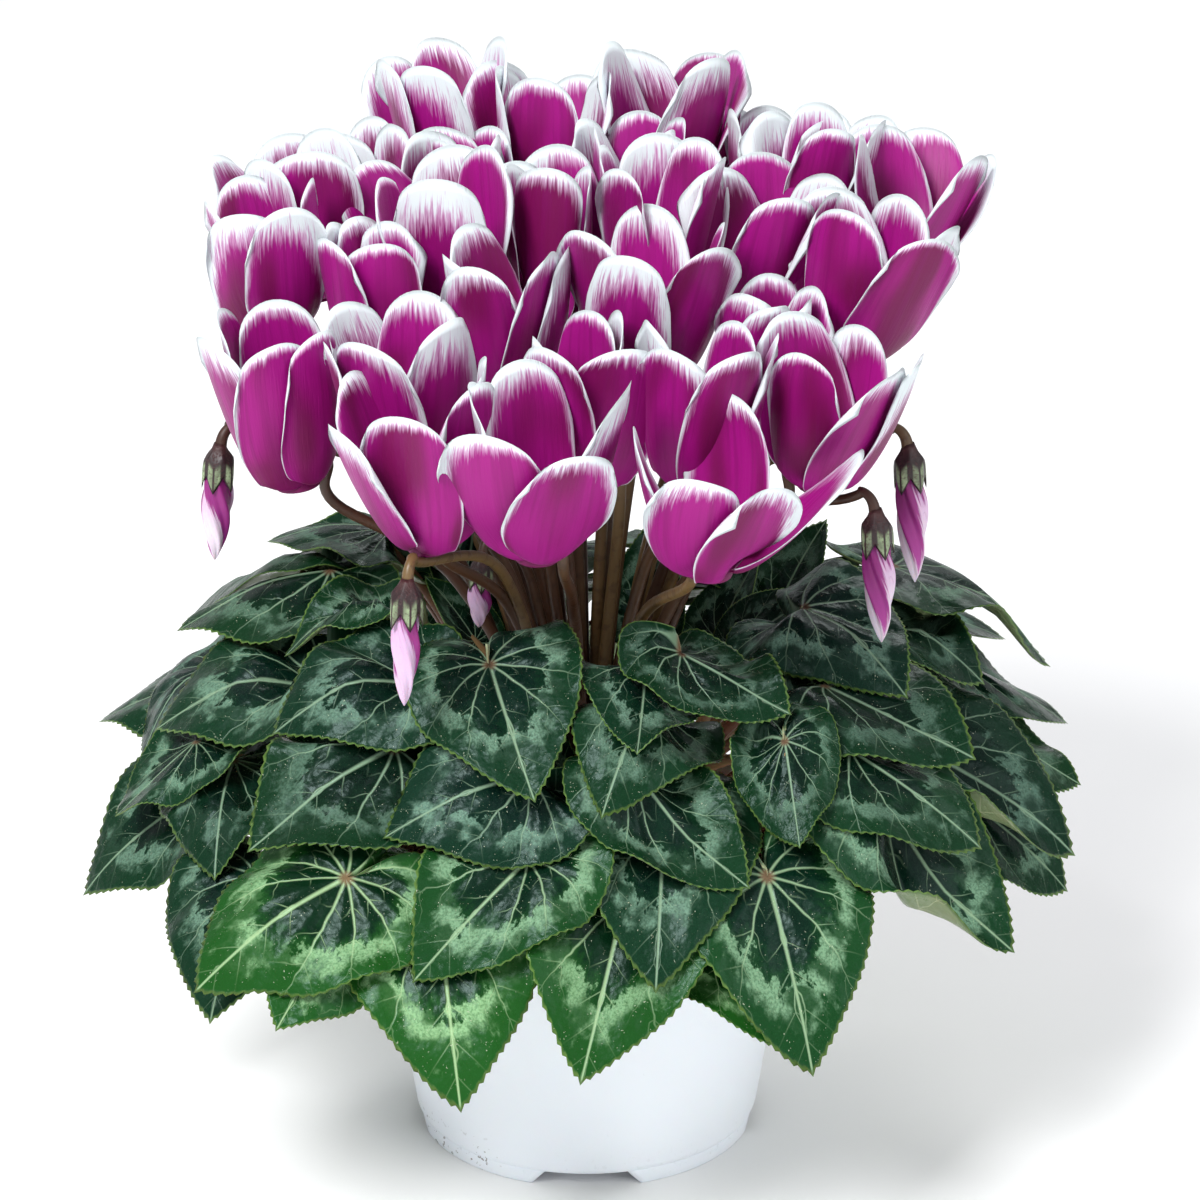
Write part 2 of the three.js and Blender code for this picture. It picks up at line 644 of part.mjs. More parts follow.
function petioleCurve(foot, joint) {
  const out = vec(joint.x - foot.x, joint.y - foot.y, 0);
  const rise = joint.z - foot.z;
  return new THREE.CubicBezierCurve3(
    foot,
    foot.clone().addScaledVector(out, 0.15).add(vec(0, 0, 0.45 * rise + 6)),
    joint.clone().addScaledVector(out, -0.35).add(vec(0, 0, -0.12 * rise - 2)),
    joint,
  );
}

const PETIOLE_STOPS = [0, 0.3, 0.65, 1];

// The first stalk of a node is lowered until the edge of its foot is one gap above the tuber.
function seatedCurve(foot, joint) {
  const ring = tube(petioleCurve(foot, joint), PETIOLE_STOPS, [2, 1.8, PETIOLE_RADIUS, 0.9], PETIOLE_SIDES);
  const position = ring.attributes.position;
  let space = Infinity;
  for (let i = 0; i < position.count; i += 1) {
    const [x, y] = [position.getX(i), position.getY(i)];
    space = Math.min(space, position.getZ(i) - tuberHeight(x, y));
  }
  return petioleCurve(foot.clone().setZ(foot.z - space + GAP), joint);
}

// Each further stalk of the node leaves the first one a little higher up.
function leafNode(leaves) {
  const first = seatedCurve(growingPoint(leaves), leafJoint(leaves[0].points));
  const pieces = [];
  leaves.forEach(({ points }, i) => {
    const curve = i ? petioleCurve(first.getPoint(0.03 + 0.05 * i), leafJoint(points)) : first;
    const radii = [i ? 0.8 : 2, 1.8, PETIOLE_RADIUS, 0.9];
    pieces.push(tube(curve, PETIOLE_STOPS, radii, PETIOLE_SIDES));
    pieces.push(blade(points, LEAF_TRIANGLES, LEAF_THICKNESS));
  });
  return join(pieces);
}

// The whole plant in its pot
addMesh('pot', potGeometry(), 'pot');
addMesh('soil', bare(soilGeometry()), 'soil');
addMesh('tuber_and_flower_stalks', join([
  lathe(TUBER_PROFILE, TUBER_SIDES),
  ...BLOOMS.map(bloomStalk),
  ...BUDS.map(budStalk),
]), 'stalk');
BLOOMS.forEach((bloom, i) => addMesh(bloom[0], bloomGeometry(bloom, 11 + 7 * i), 'petal'));
BUDS.forEach((bud) => addMesh(bud[0], budGeometry(bud), 'bud'));

const draped = drapeLeaves();
for (const name of [...new Set(LEAVES.map((leaf) => leaf[0]))].sort()) {
  addMesh(name, leafNode(draped.filter((leaf) => leaf.name === name)), 'leaf');
}

export default group;
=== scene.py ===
# %% [markdown]
# # A potted cyclamen
#
# This notebook dresses the plain solids of a cyclamen in its white nursery pot. The solids carry the
# sizes, so the tables and rules that place each flower and leaf here are the same ones, in
# millimetres. Only the finished points are turned into metres. The front of the plant faces -Y.

import math

import bpy
import numpy as np
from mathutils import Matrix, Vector


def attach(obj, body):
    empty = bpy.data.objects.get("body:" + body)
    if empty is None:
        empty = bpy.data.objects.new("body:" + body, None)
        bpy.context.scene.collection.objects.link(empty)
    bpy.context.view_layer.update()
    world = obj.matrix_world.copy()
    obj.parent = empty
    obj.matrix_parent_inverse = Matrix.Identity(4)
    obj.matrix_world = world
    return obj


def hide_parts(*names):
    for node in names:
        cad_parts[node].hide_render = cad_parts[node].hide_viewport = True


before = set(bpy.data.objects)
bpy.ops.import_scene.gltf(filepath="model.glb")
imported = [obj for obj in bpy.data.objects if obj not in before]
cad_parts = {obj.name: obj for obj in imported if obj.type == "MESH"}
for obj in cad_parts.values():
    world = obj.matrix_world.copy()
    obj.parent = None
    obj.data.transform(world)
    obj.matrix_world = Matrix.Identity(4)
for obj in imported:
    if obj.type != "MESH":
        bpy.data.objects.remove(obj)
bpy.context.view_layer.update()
MM = 0.001

# %% [markdown]
# Every surface of the plant is a grid of points that a rule bends into shape. Between the few values
# that a gardener would give, such as the width of a petal at six places, the rule needs a smooth line.
# This one never swings past the values, so that a petal doesn't bulge where nothing was asked. Chance
# comes from a small counter of its own, so the plant is the same each time.


# %% A smooth line through a few values, and chance
def through(stations, values, x):
    stations, values, x = np.asarray(stations, float), np.asarray(values, float), np.asarray(x, float)
    gaps = np.diff(stations)
    slopes = np.diff(values, axis=0) / gaps.reshape((-1,) + (1,) * (values.ndim - 1))
    before, after = slopes[:-1], slopes[1:]
    rising = before * after > 0
    middle = np.where(rising, 2 * before * after / np.where(rising, before + after, 1), 0)
    tangents = np.concatenate([slopes[:1], middle, slopes[-1:]])
    x = np.clip(x, stations[0], stations[-1])
    i = np.clip(np.searchsorted(stations, x, side="right") - 1, 0, len(gaps) - 1)
    share = ((x - stations[i]) / gaps[i]).reshape(x.shape + (1,) * (values.ndim - 1))
    gap = gaps[i].reshape(share.shape)
    start = (1 + 2 * share) * (1 - share) ** 2 * values[i] + gap * share * (1 - share) ** 2 * tangents[i]
    end = share**2 * (3 - 2 * share) * values[i + 1] + gap * share**2 * (share - 1) * tangents[i + 1]
    return start + end


STRIDE, SPAN = 16807, 2147483647


def draws(seed):
    state = [seed]

    def draw(low, high):
        state[0] = state[0] * STRIDE % SPAN
        return low + (high - low) * state[0] / SPAN

    return draw


def unit(vector):
    return vector / np.linalg.norm(vector)


print("half way from 0 to 10:", through([0, 1], [0, 10], 0.5))

# %% [markdown]
# A grid of points becomes a mesh through its quads, and a fan of triangles closes a pole or an end. A
# shape is kept as its points, quads and triangles, with notes for the materials at each point, such as
# how far along the petal it lies.


# %% Grids, fans and joined shapes
def grid_quads(rows, columns, closed=False):
    wide = columns if closed else columns - 1
    r, c = np.meshgrid(np.arange(rows - 1), np.arange(wide), indexing="ij")
    a, b = r * columns + c, r * columns + (c + 1) % columns
    return np.stack([a, b, b + columns, a + columns], axis=-1).reshape(-1, 4)


def fan(centre, edge):
    return np.stack([np.full(len(edge) - 1, centre), edge[:-1], edge[1:]], 1)


def ring_fan(centre, first, sides):
    return fan(centre, first + np.arange(sides + 1) % sides)


def faces_of(grid):
    quads, triangles = grid["quads"], grid.get("triangles", ())
    return np.asarray(quads, int).reshape(-1, 4), np.asarray(triangles, int).reshape(-1, 3)


def join_grids(grids):
    points, quads, triangles, notes, count = [], [], [], {}, 0
    for grid in grids:
        points.append(grid["points"])
        more_quads, more_triangles = faces_of(grid)
        quads.append(more_quads + count)
        triangles.append(more_triangles + count)
        for name, values in grid["notes"].items():
            notes.setdefault(name, []).append(values)
        count += len(grid["points"])
    return {
        "points": np.concatenate(points),
        "quads": np.concatenate(quads),
        "triangles": np.concatenate(triangles),
        "notes": {name: np.concatenate(values) for name, values in notes.items()},
    }


print("quads in a grid of 3 by 4 points:", len(grid_quads(3, 4)))

# %% [markdown]
# Petals and leaves are thin, but they aren't single sheets: light grazes their edges, and the part has
# to be closed to be printed or cut. So a sheet gets a back that lies behind it, and the two meet in a
# fine rim. Solidify could do it, but then the rim would be square and the back couldn't be told from
# the front.


# %% From a sheet to a closed blade
def blade(sheet, thickness):
    points = sheet["points"]
    quads, triangles = faces_of(sheet)
    normals = np.zeros_like(points)
    edges = []
    for corners in (quads, triangles):
        if len(corners):
            first = points[corners[:, 2]] - points[corners[:, 0]]
            face = np.cross(first, points[corners[:, -1]] - points[corners[:, 1]])
            for column in range(corners.shape[1]):
                np.add.at(normals, corners[:, column], face)
        following = np.roll(corners, -1, axis=1)
        edges += [np.stack([corners[:, k], following[:, k]], 1) for k in range(corners.shape[1])]
    normals /= np.maximum(np.linalg.norm(normals, axis=1, keepdims=True), 1e-12)
    keys, uses = np.unique(np.sort(np.concatenate(edges), axis=1), axis=0, return_counts=True)
    rim = np.zeros(len(points), bool)
    rim[keys[uses == 1].ravel()] = True
    back = np.arange(len(points))
    back[~rim] = len(points) + np.arange((~rim).sum())
    depth = (normals * np.asarray(thickness, float).reshape(-1, 1))[~rim]
    notes = {name: np.concatenate([v, v[~rim]]) for name, v in sheet["notes"].items()}
    notes["under"] = np.concatenate([np.zeros(len(points)), np.ones((~rim).sum())])
    return {
        "points": np.concatenate([points, points[~rim] - depth]),
        "quads": np.concatenate([quads, back[quads][:, ::-1]]),
        "triangles": np.concatenate([triangles, back[triangles][:, ::-1]]),
        "notes": notes,
    }


tile = np.stack([*np.indices((3, 3)), np.zeros((3, 3))], -1).reshape(-1, 3)
tile = blade({"points": tile, "quads": grid_quads(3, 3), "notes": {}}, 1)
print("points of a sheet of 3 by 3 that has a back:", len(tile["points"]))

# %% [markdown]
# A finished piece is one mesh whose place is in its points, with its object at the origin. This cell
# turns a shape into such a piece and makes it stand for the solid that it dresses.


# %% From a shape to a finished piece
total_triangles = 0


def plain_mesh(name, grid):
    quads, triangles = faces_of(grid)
    sizes = np.concatenate([np.full(len(quads), 4), np.full(len(triangles), 3)])
    corners = np.concatenate([np.ravel(quads), np.ravel(triangles)]).astype(np.int32)
    mesh = bpy.data.meshes.new(name)
    mesh.vertices.add(len(grid["points"]))
    mesh.vertices.foreach_set("co", (grid["points"] * MM).astype(np.float32).ravel())
    mesh.loops.add(len(corners))
    mesh.loops.foreach_set("vertex_index", corners)
    mesh.polygons.add(len(sizes))
    mesh.polygons.foreach_set("loop_start", (np.cumsum(sizes) - sizes).astype(np.int32))
    mesh.update(calc_edges=True)
    for note, values in grid["notes"].items():
        kind, key = ("FLOAT_VECTOR", "vector") if values.ndim == 2 else ("FLOAT", "value")
        mesh.attributes.new(note, kind, "POINT").data.foreach_set(key, values.astype(np.float32).ravel())
    return mesh


def added(name, data):
    thing = bpy.data.objects.new(name, data)
    bpy.context.scene.collection.objects.link(thing)
    return thing


def finished(name, shape, material, solids=()):
    global total_triangles
    mesh = plain_mesh(name, shape) if isinstance(shape, dict) else shape
    mesh.polygons.foreach_set("use_smooth", np.ones(len(mesh.polygons), bool))
    mesh.materials.clear()
    mesh.materials.append(material)
    piece = added(name, mesh)
    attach(piece, "root")
    if solids:
        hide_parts(*solids)
    total_triangles += sum(len(face.vertices) - 2 for face in mesh.polygons)


print("triangles so far:", total_triangles)

# %% [markdown]
# ## Finishes
#
# The materials are small networks of nodes. A wire here is a value on its way through such a network.
# A sum with wires lays Math nodes, and the wire's methods lay the other nodes, so that each finish below
# reads as a recipe. Colours are given as they look on a screen, from 0 to 255.


# %% Laying and joining nodes
def feed(socket, value):
    value = getattr(value, "socket", value)
    if isinstance(value, bpy.types.NodeSocket):
        socket.id_data.links.new(value, socket)
    else:
        socket.default_value = value


def laid(tree, kind, values, **settings):
    node = tree.nodes.new(kind)
    for name, value in settings.items():
        setattr(node, name, value)
    for key, value in values.items():
        feed(node.inputs[key], value)
    return node


class Wire:
    def __init__(self, socket):
        self.socket, self.tree = socket, socket.id_data

    def onto(self, kind, values, output=0, **settings):
        return Wire(laid(self.tree, kind, values, **settings).outputs[output])

    def math(self, operation, *others):
        return self.onto("ShaderNodeMath", dict(enumerate((self, *others))), operation=operation)

    def __add__(self, other):
        return self.math("ADD", other)

    def __sub__(self, other):
        return self.math("SUBTRACT", other)

    def __mul__(self, other):
        return self.math("MULTIPLY", other)

    def __truediv__(self, other):
        return self.math("DIVIDE", other)

    def or_more(self, other):
        return self.math("MAXIMUM", other)

    def rise(self, start, end, low=0.0, high=1.0):
        values = {0: self, 1: start, 2: end, 3: low, 4: high}
        return self.onto("ShaderNodeMapRange", values, interpolation_type="SMOOTHSTEP")

    def tint(self, under, over):
        return self.onto("ShaderNodeMix", {0: self, 6: under, 7: over}, 2, data_type="RGBA")

    def cloud(self, scale, detail=2.0, roughness=0.5):
        values = {"Vector": self, "Scale": scale, "Detail": detail, "Roughness": roughness}
        return self.onto("ShaderNodeTexNoise", values)

    def relief(self, distance, strength):
        return self.onto("ShaderNodeBump", {"Height": self, "Distance": distance, "Strength": strength})

    def split(self):
        return [Wire(socket) for socket in laid(self.tree, "ShaderNodeSeparateXYZ", {0: self}).outputs]


def paint(*colour):
    def linear(value):
        value /= 255
        return value / 12.92 if value <= 0.04045 else ((value + 0.055) / 1.055) ** 2.4

    return (*map(linear, colour), 1)


def notes_of(tree, *names, output="Fac"):
    nodes = [laid(tree, "ShaderNodeAttribute", {}, attribute_name=name) for name in names]
    return [Wire(node.outputs[output]) for node in nodes]


def here(tree):
    return Wire(tree.nodes.new("ShaderNodeTexCoord").outputs["Object"])


def wear(shader, **looks):
    for name, value in looks.items():
        feed(shader.inputs[name.replace("_", " ")], value)


def finish_of(name, **looks):
    material = bpy.data.materials.new(name)
    material.use_nodes = True
    shader = material.node_tree.nodes["Principled BSDF"]
    wear(shader, **looks)
    return material, material.node_tree, shader


print("white paint:", paint(255, 255, 255))

# %% [markdown]
# Growth leaves nothing in one even colour. A soft mottle with fine freckles in it is used on the stems,
# on the calyces, on the tuber and on the soil. Streaks, which are a noise stretched along the veins,
# are used on the petals, on the buds and on the leaves. So each is a node group, built once and placed
# in every material with values of its own.


# %% Mottle and streaks, as node groups
def shader_group(name, inputs, outputs):
    group = bpy.data.node_groups.new(name, "ShaderNodeTree")
    for way, labels in (("INPUT", inputs), ("OUTPUT", outputs)):
        for label in labels:
            kind = "NodeSocketVector" if label == "Place" else "NodeSocketFloat"
            group.interface.new_socket(label, in_out=way, socket_type=kind)
    given = [Wire(socket) for socket in group.nodes.new("NodeGroupInput").outputs if socket.name]
    return group, given, group.nodes.new("NodeGroupOutput").inputs


def placed(group, *values):
    node = laid(values[0].tree, "ShaderNodeGroup", dict(enumerate(values)), node_tree=group)
    return [Wire(socket) for socket in node.outputs]


mottle, given, outs = shader_group("mottle", ("Place", "Scale", "Strength"), ("Patches", "Freckles"))
spot, size, strength = given
feed(outs["Patches"], spot.cloud(size, 3).rise(0.35, 0.65) * strength)
feed(outs["Freckles"], spot.cloud(size * 6.0, 5).rise(0.52, 0.66) * strength)
labels = ("Across", "Times across", "Along", "Times along", "Own", "Detail", "Roughness")
streaky, given, outs = shader_group("streaks", labels, ("Streaks",))
across, times_across, along, times_along, own, detail, roughness = given
spot = across.onto("ShaderNodeCombineXYZ", {0: across * times_across, 1: along * times_along, 2: own})
feed(outs["Streaks"], spot.cloud(1, detail, roughness))


def stretched(across, times_across, along, times_along, own, detail, roughness=0.5):
    return placed(streaky, across, times_across, along, times_along, own, detail, roughness)[0]


print("nodes in the groups:", len(mottle.nodes), len(streaky.nodes))

# %% [markdown]
# The pot is thin white polypropylene. It is satin, a little cold in the shade, with the faint cloudiness
# of moulded plastic, a few rubbed marks on its side and specks of soil on its feet. The specks are cut
# from one noise. A slope over the height keeps them near the table, and another slope keeps most of them
# on one side.

# %% White plastic of the pot
pot_plastic, tree, shader = finish_of(
    "white_nursery_plastic", Roughness=0.4, Subsurface_Weight=0.08, Subsurface_Scale=0.004
)
spot = here(tree)
x, y, z = spot.split()
clouds = spot.cloud(28, 3)
squeezed = spot.onto("ShaderNodeMapping", {"Vector": spot, "Scale": (260, 260, 60)})
rubs = squeezed.cloud(1, 4, 0.7).rise(0.68, 0.74, 0, 0.3)
one_side = spot.cloud(40, 1).rise(0.4, 0.5) * x.rise(-0.02, 0.0, 1, 0.1)
specks = spot.cloud(620).rise(0.64, 0.67) * (z.rise(0.002, 0.016, 1, 0) * one_side)
white = rubs.tint(clouds.tint(paint(240, 245, 254), paint(246, 250, 255)), paint(206, 211, 219))
wear(
    shader,
    Base_Color=(specks * 0.75).tint(white, paint(98, 84, 70)),
    Roughness=(clouds + rubs).rise(0.3, 1.0, 0.36, 0.52),
    Normal=spot.cloud(900).relief(0.00008, 0.35),
)
print("finish:", pot_plastic.name)

# %% [markdown]
# Soil is peat: nearly black where it is damp, brown where it has dried, and rough all over. The tuber
# has a corky skin in the same family of browns.

# %% Peat and cork
peat, tree, shader = finish_of("damp_peat", Roughness=0.95)
patches, freckles = placed(mottle, here(tree), 90, 1.0)
damp = patches.tint(paint(40, 28, 20), paint(78, 56, 40))
wear(
    shader,
    Base_Color=freckles.tint(damp, paint(112, 84, 58)),
    Roughness=patches.rise(0, 1, 0.8, 0.98),
    Normal=freckles.relief(0.0008, 0.8),
)
cork, tree, shader = finish_of("corky_skin", Roughness=0.85)
patches, freckles = placed(mottle, here(tree), 60, 1.0)
wear(
    shader,
    Base_Color=patches.tint(paint(74, 52, 40), paint(112, 84, 62)),
    Roughness=freckles.rise(0, 1, 0.7, 0.92),
    Normal=freckles.relief(0.0006, 0.7),
)
print("finishes:", peat.name, cork.name)

# %% [markdown]
# The stems are fleshy and slightly shiny. At the foot they are dark red-brown, further up an olive tan
# breaks through, and near the flower they are brown again. Each stem carries a note of how far along it
# a point lies, and a number of its own that moves its tone.


# %% Skin of the stems
def stem_skin(name, foot, middle, end, tan):
    material, tree, shader = finish_of(name, Roughness=0.42, Subsurface_Weight=0.1, Subsurface_Scale=0.002)
    along, own = notes_of(tree, "along", "own")
    patches, freckles = placed(mottle, here(tree), 55, 0.6)
    skin = along.rise(0.7, 1.0).tint(along.rise(0.0, 0.45).tint(foot, middle), end)
    skin = (patches * own).or_more(own.rise(0.5, 0.9, 0, 0.7)).tint(skin, tan)
    wear(
        shader,
        Base_Color=(freckles * 0.6).tint(skin, foot),
        Roughness=patches.rise(0, 0.6, 0.36, 0.5),
        Normal=freckles.relief(0.0003, 0.4),
    )
    return material


# The flower stalks get their own dark red-brown made darker still; that extra darkness is painted shade,
# since they stand in shade under the flowers.
flower_stem_and_painted_shade = stem_skin(
    "flower_stem_skin_and_painted_shade", paint(50, 23, 17), paint(74, 46, 29), paint(58, 29, 20), paint(122, 98, 58)
)
leaf_stem = stem_skin(
    "leaf_stem_skin", paint(92, 44, 40), paint(120, 76, 56), paint(132, 110, 74), paint(140, 112, 74)
)
print("finishes:", flower_stem_and_painted_shade.name, leaf_stem.name)

# %% [markdown]
# Each of the five sepals of a calyx is nearly black, with a dark rib down its middle and a pale green
# patch on both sides of the rib. The note lobe is 0 on the rib and 1 where two sepals meet.

# %% Skin of the calyces
calyx_skin, tree, shader = finish_of("calyx_skin", Roughness=0.5)
along, lobe = notes_of(tree, "along", "lobe")
patches, freckles = placed(mottle, here(tree), 240, 1.0)
pale = along.rise(0.42, 0.6) * along.rise(0.9, 0.97, 1, 0)
pale = pale * (lobe.rise(0.05, 0.16) * lobe.rise(0.6, 0.8, 1, 0)) * (patches * 0.6 + 0.4)
skin = pale.tint(along.rise(0.0, 0.4).tint(paint(66, 34, 34), paint(40, 22, 24)), paint(156, 176, 136))
wear(
    shader,
    Base_Color=(freckles * 0.6).tint(skin, paint(74, 38, 38)),
    Roughness=patches.rise(0, 1, 0.42, 0.58),
    Normal=(freckles + pale).relief(0.0003, 0.4),
)
print("finish:", calyx_skin.name)

# %% [markdown]
# ## The petals' colour
#
# This is the piece of the plant that everyone looks at: a magenta that is nearly black in the folds, and
# a white margin. The darkness of the folds is painted shade: the magenta is darker towards the base, where
# the petals fold back, and in soft patches that are partly the petal's own maroon and partly painted
# shade.
# The margin is a thin line along the sides and a broad cap at the end, and it doesn't end in a line. It is
# feathered, because the white follows the veins. A petal's notes say how far a point lies across it, along
# it and from its rim, and how broad its cap is. A noise that is stretched along the petal gives streaks
# that fan out like the veins, and the streaks, with fine hairs in them, push the border of the white up
# and down.

# %% Velvet of the petals
petal_velvet, tree, shader = finish_of(
    "magenta_velvet_with_white_margin", Roughness=0.5, Subsurface_Weight=0.08, Subsurface_Scale=0.003,
    Subsurface_Radius=(1.0, 0.5, 0.8), Specular_IOR_Level=0.28, Sheen_Weight=0.03, Sheen_Roughness=0.4,
)
across, along, own, rim, cap = notes_of(tree, "across", "along", "own", "rim", "cap")
streaks = stretched(across, 30.0, along, 7.0, own, 4, 0.6)
hairs = stretched(across, 75.0, along, 12.0, own, 2)
veins = stretched(across, 11.0, along, 1.2, own, 3)
soft = stretched(across, 1.3, along, 1.6, own, 1)
margin = along.rise(0.4, 1.0, 0.12, 2.1) * cap
border = margin * (streaks * 3.6 + (hairs * 1.6 - 1.6))
white = ((border - rim) / (margin * 0.9 + 0.15)).rise(-1.7, 0.4)
# Painted shade: the petal is darker towards its base, where it folds back, and in soft patches that are
# partly its own maroon and partly painted shade.
petal_tone_and_painted_shade = along.rise(0.0, 0.3).tint(paint(108, 4, 76), paint(158, 12, 124))
petal_tone_and_painted_shade = soft.rise(0.44, 0.68, 0, 0.85).tint(petal_tone_and_painted_shade, paint(106, 8, 66))
petal_tone_and_painted_shade = veins.rise(0.44, 0.66, 0, 0.4).tint(petal_tone_and_painted_shade, paint(122, 6, 92))
blush = white.rise(0.6, 1.0).tint(paint(222, 190, 220), paint(226, 235, 238))
wear(
    shader,
    Base_Color=white.tint(petal_tone_and_painted_shade, blush),
    Roughness=white.rise(0, 1, 0.46, 0.58),
    Normal=(veins + streaks).relief(0.0003, 0.4),
)
print("finish:", petal_velvet.name)

# %% [markdown]
# A rolled bud is magenta where it leaves the calyx. Further down, the pale backs of the petals take over,
# and the magenta is left as feathered stripes along the edges that wind round it.

# %% Skin of the rolled buds
bud_skin, tree, shader = finish_of(
    "rolled_bud_skin", Roughness=0.5, Subsurface_Weight=0.15, Subsurface_Scale=0.002
)
along, ridge, own = notes_of(tree, "along", "ridge", "own")
streaks = stretched(ridge, 9.0, along, 2.5, own, 4, 0.65)
flecks = stretched(ridge, 22.0, along, 12.0, own, 3, 0.6)
edge = ridge + (streaks * 1.4 - 0.7)
paler = along * 1.3 + (own * -1.3 + 0.74)
stripe = (edge - paler).rise(-0.12, 0.22).or_more(flecks.rise(0.6, 0.72, 0, 0.4))
wash = along.rise(0.0, 0.8).tint(paint(206, 160, 202), paint(230, 216, 230))
wash = own.rise(0.7, 0.5, 0, 0.6).tint(wash, paint(206, 166, 206))
wear(
    shader,
    Base_Color=stripe.tint(wash, along.tint(paint(128, 18, 104), paint(168, 50, 146))),
    Roughness=streaks.rise(0.3, 0.7, 0.42, 0.58),
    Normal=streaks.relief(0.0003, 0.5),
)
print("finish:", bud_skin.name)

# %% [markdown]
# ## The leaves' pattern
#
# A cyclamen leaf is dark blue-green at its middle, with pale veins that run out from its stalk like
# fingers. Round the middle lies a broken silver band, then plain green again, and the fine teeth have a
# yellow-green rim. The veins are drawn by arithmetic. A leaf carries its own flat coordinates, so the
# angle round the stalk gives the fingers, and a second set of lines leaves each finger at a slant.

# %% Veins: where they run on the blade
leaf_skin, tree, shader = finish_of(
    "marbled_leaf", Roughness=0.42, Subsurface_Weight=0.03, Subsurface_Scale=0.001,
    Specular_IOR_Level=0.16, Specular_Tint=(0.72, 0.95, 0.92, 1),
)
(flat,) = notes_of(tree, "flat", output="Vector")
share, under, painted_light, own = notes_of(tree, "share", "under", "painted_light", "own")
a, b = flat.split()[:2]
far = (a * a + b * b).math("SQRT")
bearing = b.math("ARCTAN2", a).math("ABSOLUTE") / math.pi
wander = flat.cloud(5) * 0.07 - 0.035
bent = bearing * (far * 0.5 + 1.0) + wander
from_finger = bent.math("PINGPONG", 0.1)
beside = from_finger * (far * math.pi)
wide = share * -0.006 + 0.0105
fingers = (beside / wide).rise(0.1, 1.4, 1, 0)
midrib = (b.math("ABSOLUTE") / wide).rise(0.3, 1.9, 1, 0) * a.rise(0.0, 0.05)
slant = (beside * -0.8 + far) + wander * 2.0
branches = slant.math("PINGPONG", 0.085).rise(0.001, 0.007, 1, 0)
branches = branches * (from_finger.rise(0.02, 0.1, 1, 0.1) * share.rise(0.15, 0.35))
puckers = from_finger.rise(0, 0.1) * share.rise(0.05, 0.4) + flat.cloud(11)
print("veins laid for", leaf_skin.name)

# %% [markdown]
# With the veins in place the colour is laid on from the middle outwards, and the back of the blade gets
# its own pale green. The lowest leaves at the front stand in more light, and this is painted light: their
# green, silver and veins are painted lighter and fresher. Pores
# and a little dust keep the face crisp from close by.

# %% Colour of the leaves
blotches, breaks = flat.cloud(7, 5, 0.62), flat.cloud(4.5)
grain, pores = flat.cloud(75, 2, 0.6), flat.cloud(170, 2, 0.6)
brush = stretched(bent, 30.0, far, 9.0, own, 4, 0.65)
dust = flat.cloud(95, 1).rise(0.69, 0.73) * brush.rise(0.5, 0.62)
ring = share + (from_finger * -0.6 + (blotches * 0.5 - 0.25)) + (brush * 0.34 - 0.17)
band = ring.rise(0.57, 0.61) * ring.rise(0.67, 0.84, 1, 0)
band = band * breaks.rise(0.42, 0.52, 0.1, 1.0) * grain.rise(0.32, 0.62, 0.5, 1.0)
green = ring.rise(0.3, 0.95).tint(paint(2, 16, 10), paint(8, 38, 19))
green = blotches.rise(0.42, 0.7, 0, 0.5).tint(green, paint(11, 44, 26))
green = (own * 0.4).tint(green, paint(10, 36, 34))
green = pores.rise(0.5, 0.68, 0, 0.3).tint(green, paint(40, 78, 54))
# Painted light: the low leaves at the front get a lighter, fresher green, and lighter silver and veins
# below.
green = painted_light.tint(green, ring.rise(0.42, 0.66).tint(paint(5, 40, 16), paint(32, 90, 25)))
silver = painted_light.tint(paint(98, 130, 113), paint(146, 192, 130))
face = (band * (own + painted_light).rise(0, 1, 0.5, 1.0)).tint(green, silver)
lines = fingers.or_more(branches * 0.6) * share.rise(0.5, 0.98, 0.8, 0.25)
lines = lines.or_more(midrib * 0.85)
face = lines.tint(face, painted_light.tint(paint(128, 156, 130), paint(172, 206, 146)))
for where, colour in (
    (far.rise(0.015, 0.06, 0.8, 0), paint(112, 66, 46)),
    (share.rise(0.972, 0.995, 0, 0.8), paint(104, 136, 66)),
    (dust * 0.7, paint(196, 202, 176)),
):
    face = where.tint(face, colour)
back = fingers.or_more(branches).tint(paint(112, 132, 92), paint(168, 178, 138))
back = blotches.rise(0.3, 0.7, 0, 0.5).tint(back, paint(136, 140, 104))
sunk = lines.or_more(midrib) * -0.3 + (grain * 0.08 + puckers)
wear(
    shader,
    Base_Color=under.tint(face, back),
    Roughness=(blotches + band).rise(0.3, 1.3, 0.26, 0.46),
    Normal=sunk.relief(0.0014, 0.45),
)
print("finish:", leaf_skin.name)

# %% [markdown]
# ## The pot
#
# A nursery pot is thin, tapered and moulded in one go, with a raised band under the rim. Its profile is
# turned round the axis, with small arcs at the corners, since a sharp edge catches no light. The same
# rings, closed by a point at each end, later make the soil, the tuber, the tubes of the flowers and the
# rolled buds.


# %% Rings round an axis
def round_points(radius, angle, height):
    x, y = radius * np.cos(angle), radius * np.sin(angle)
    return np.stack([x, y, height + 0 * x], -1)


def bearings(sides):
    return np.arange(sides) * 2 * math.pi / sides


def closed_rings(rings, ends, way=1):
    rows, sides = rings.shape[:2]
    count = rows * sides
    caps = [ring_fan(count, 0, sides)[:, ::-way], ring_fan(count + 1, count - sides, sides)[:, ::way]]
    return {
        "points": np.concatenate([rings.reshape(-1, 3), ends]),
        "quads": grid_quads(rows, sides, closed=True)[:, ::way],
        "triangles": np.concatenate(caps),
        "notes": {},
    }


def turned(profile, sides):
    profile = np.asarray(profile, float)
    rings = round_points(profile[1:-1, :1], bearings(sides), profile[1:-1, 1:])
    return closed_rings(rings, [[0, 0, profile[0, 1]], [0, 0, profile[-1, 1]]])


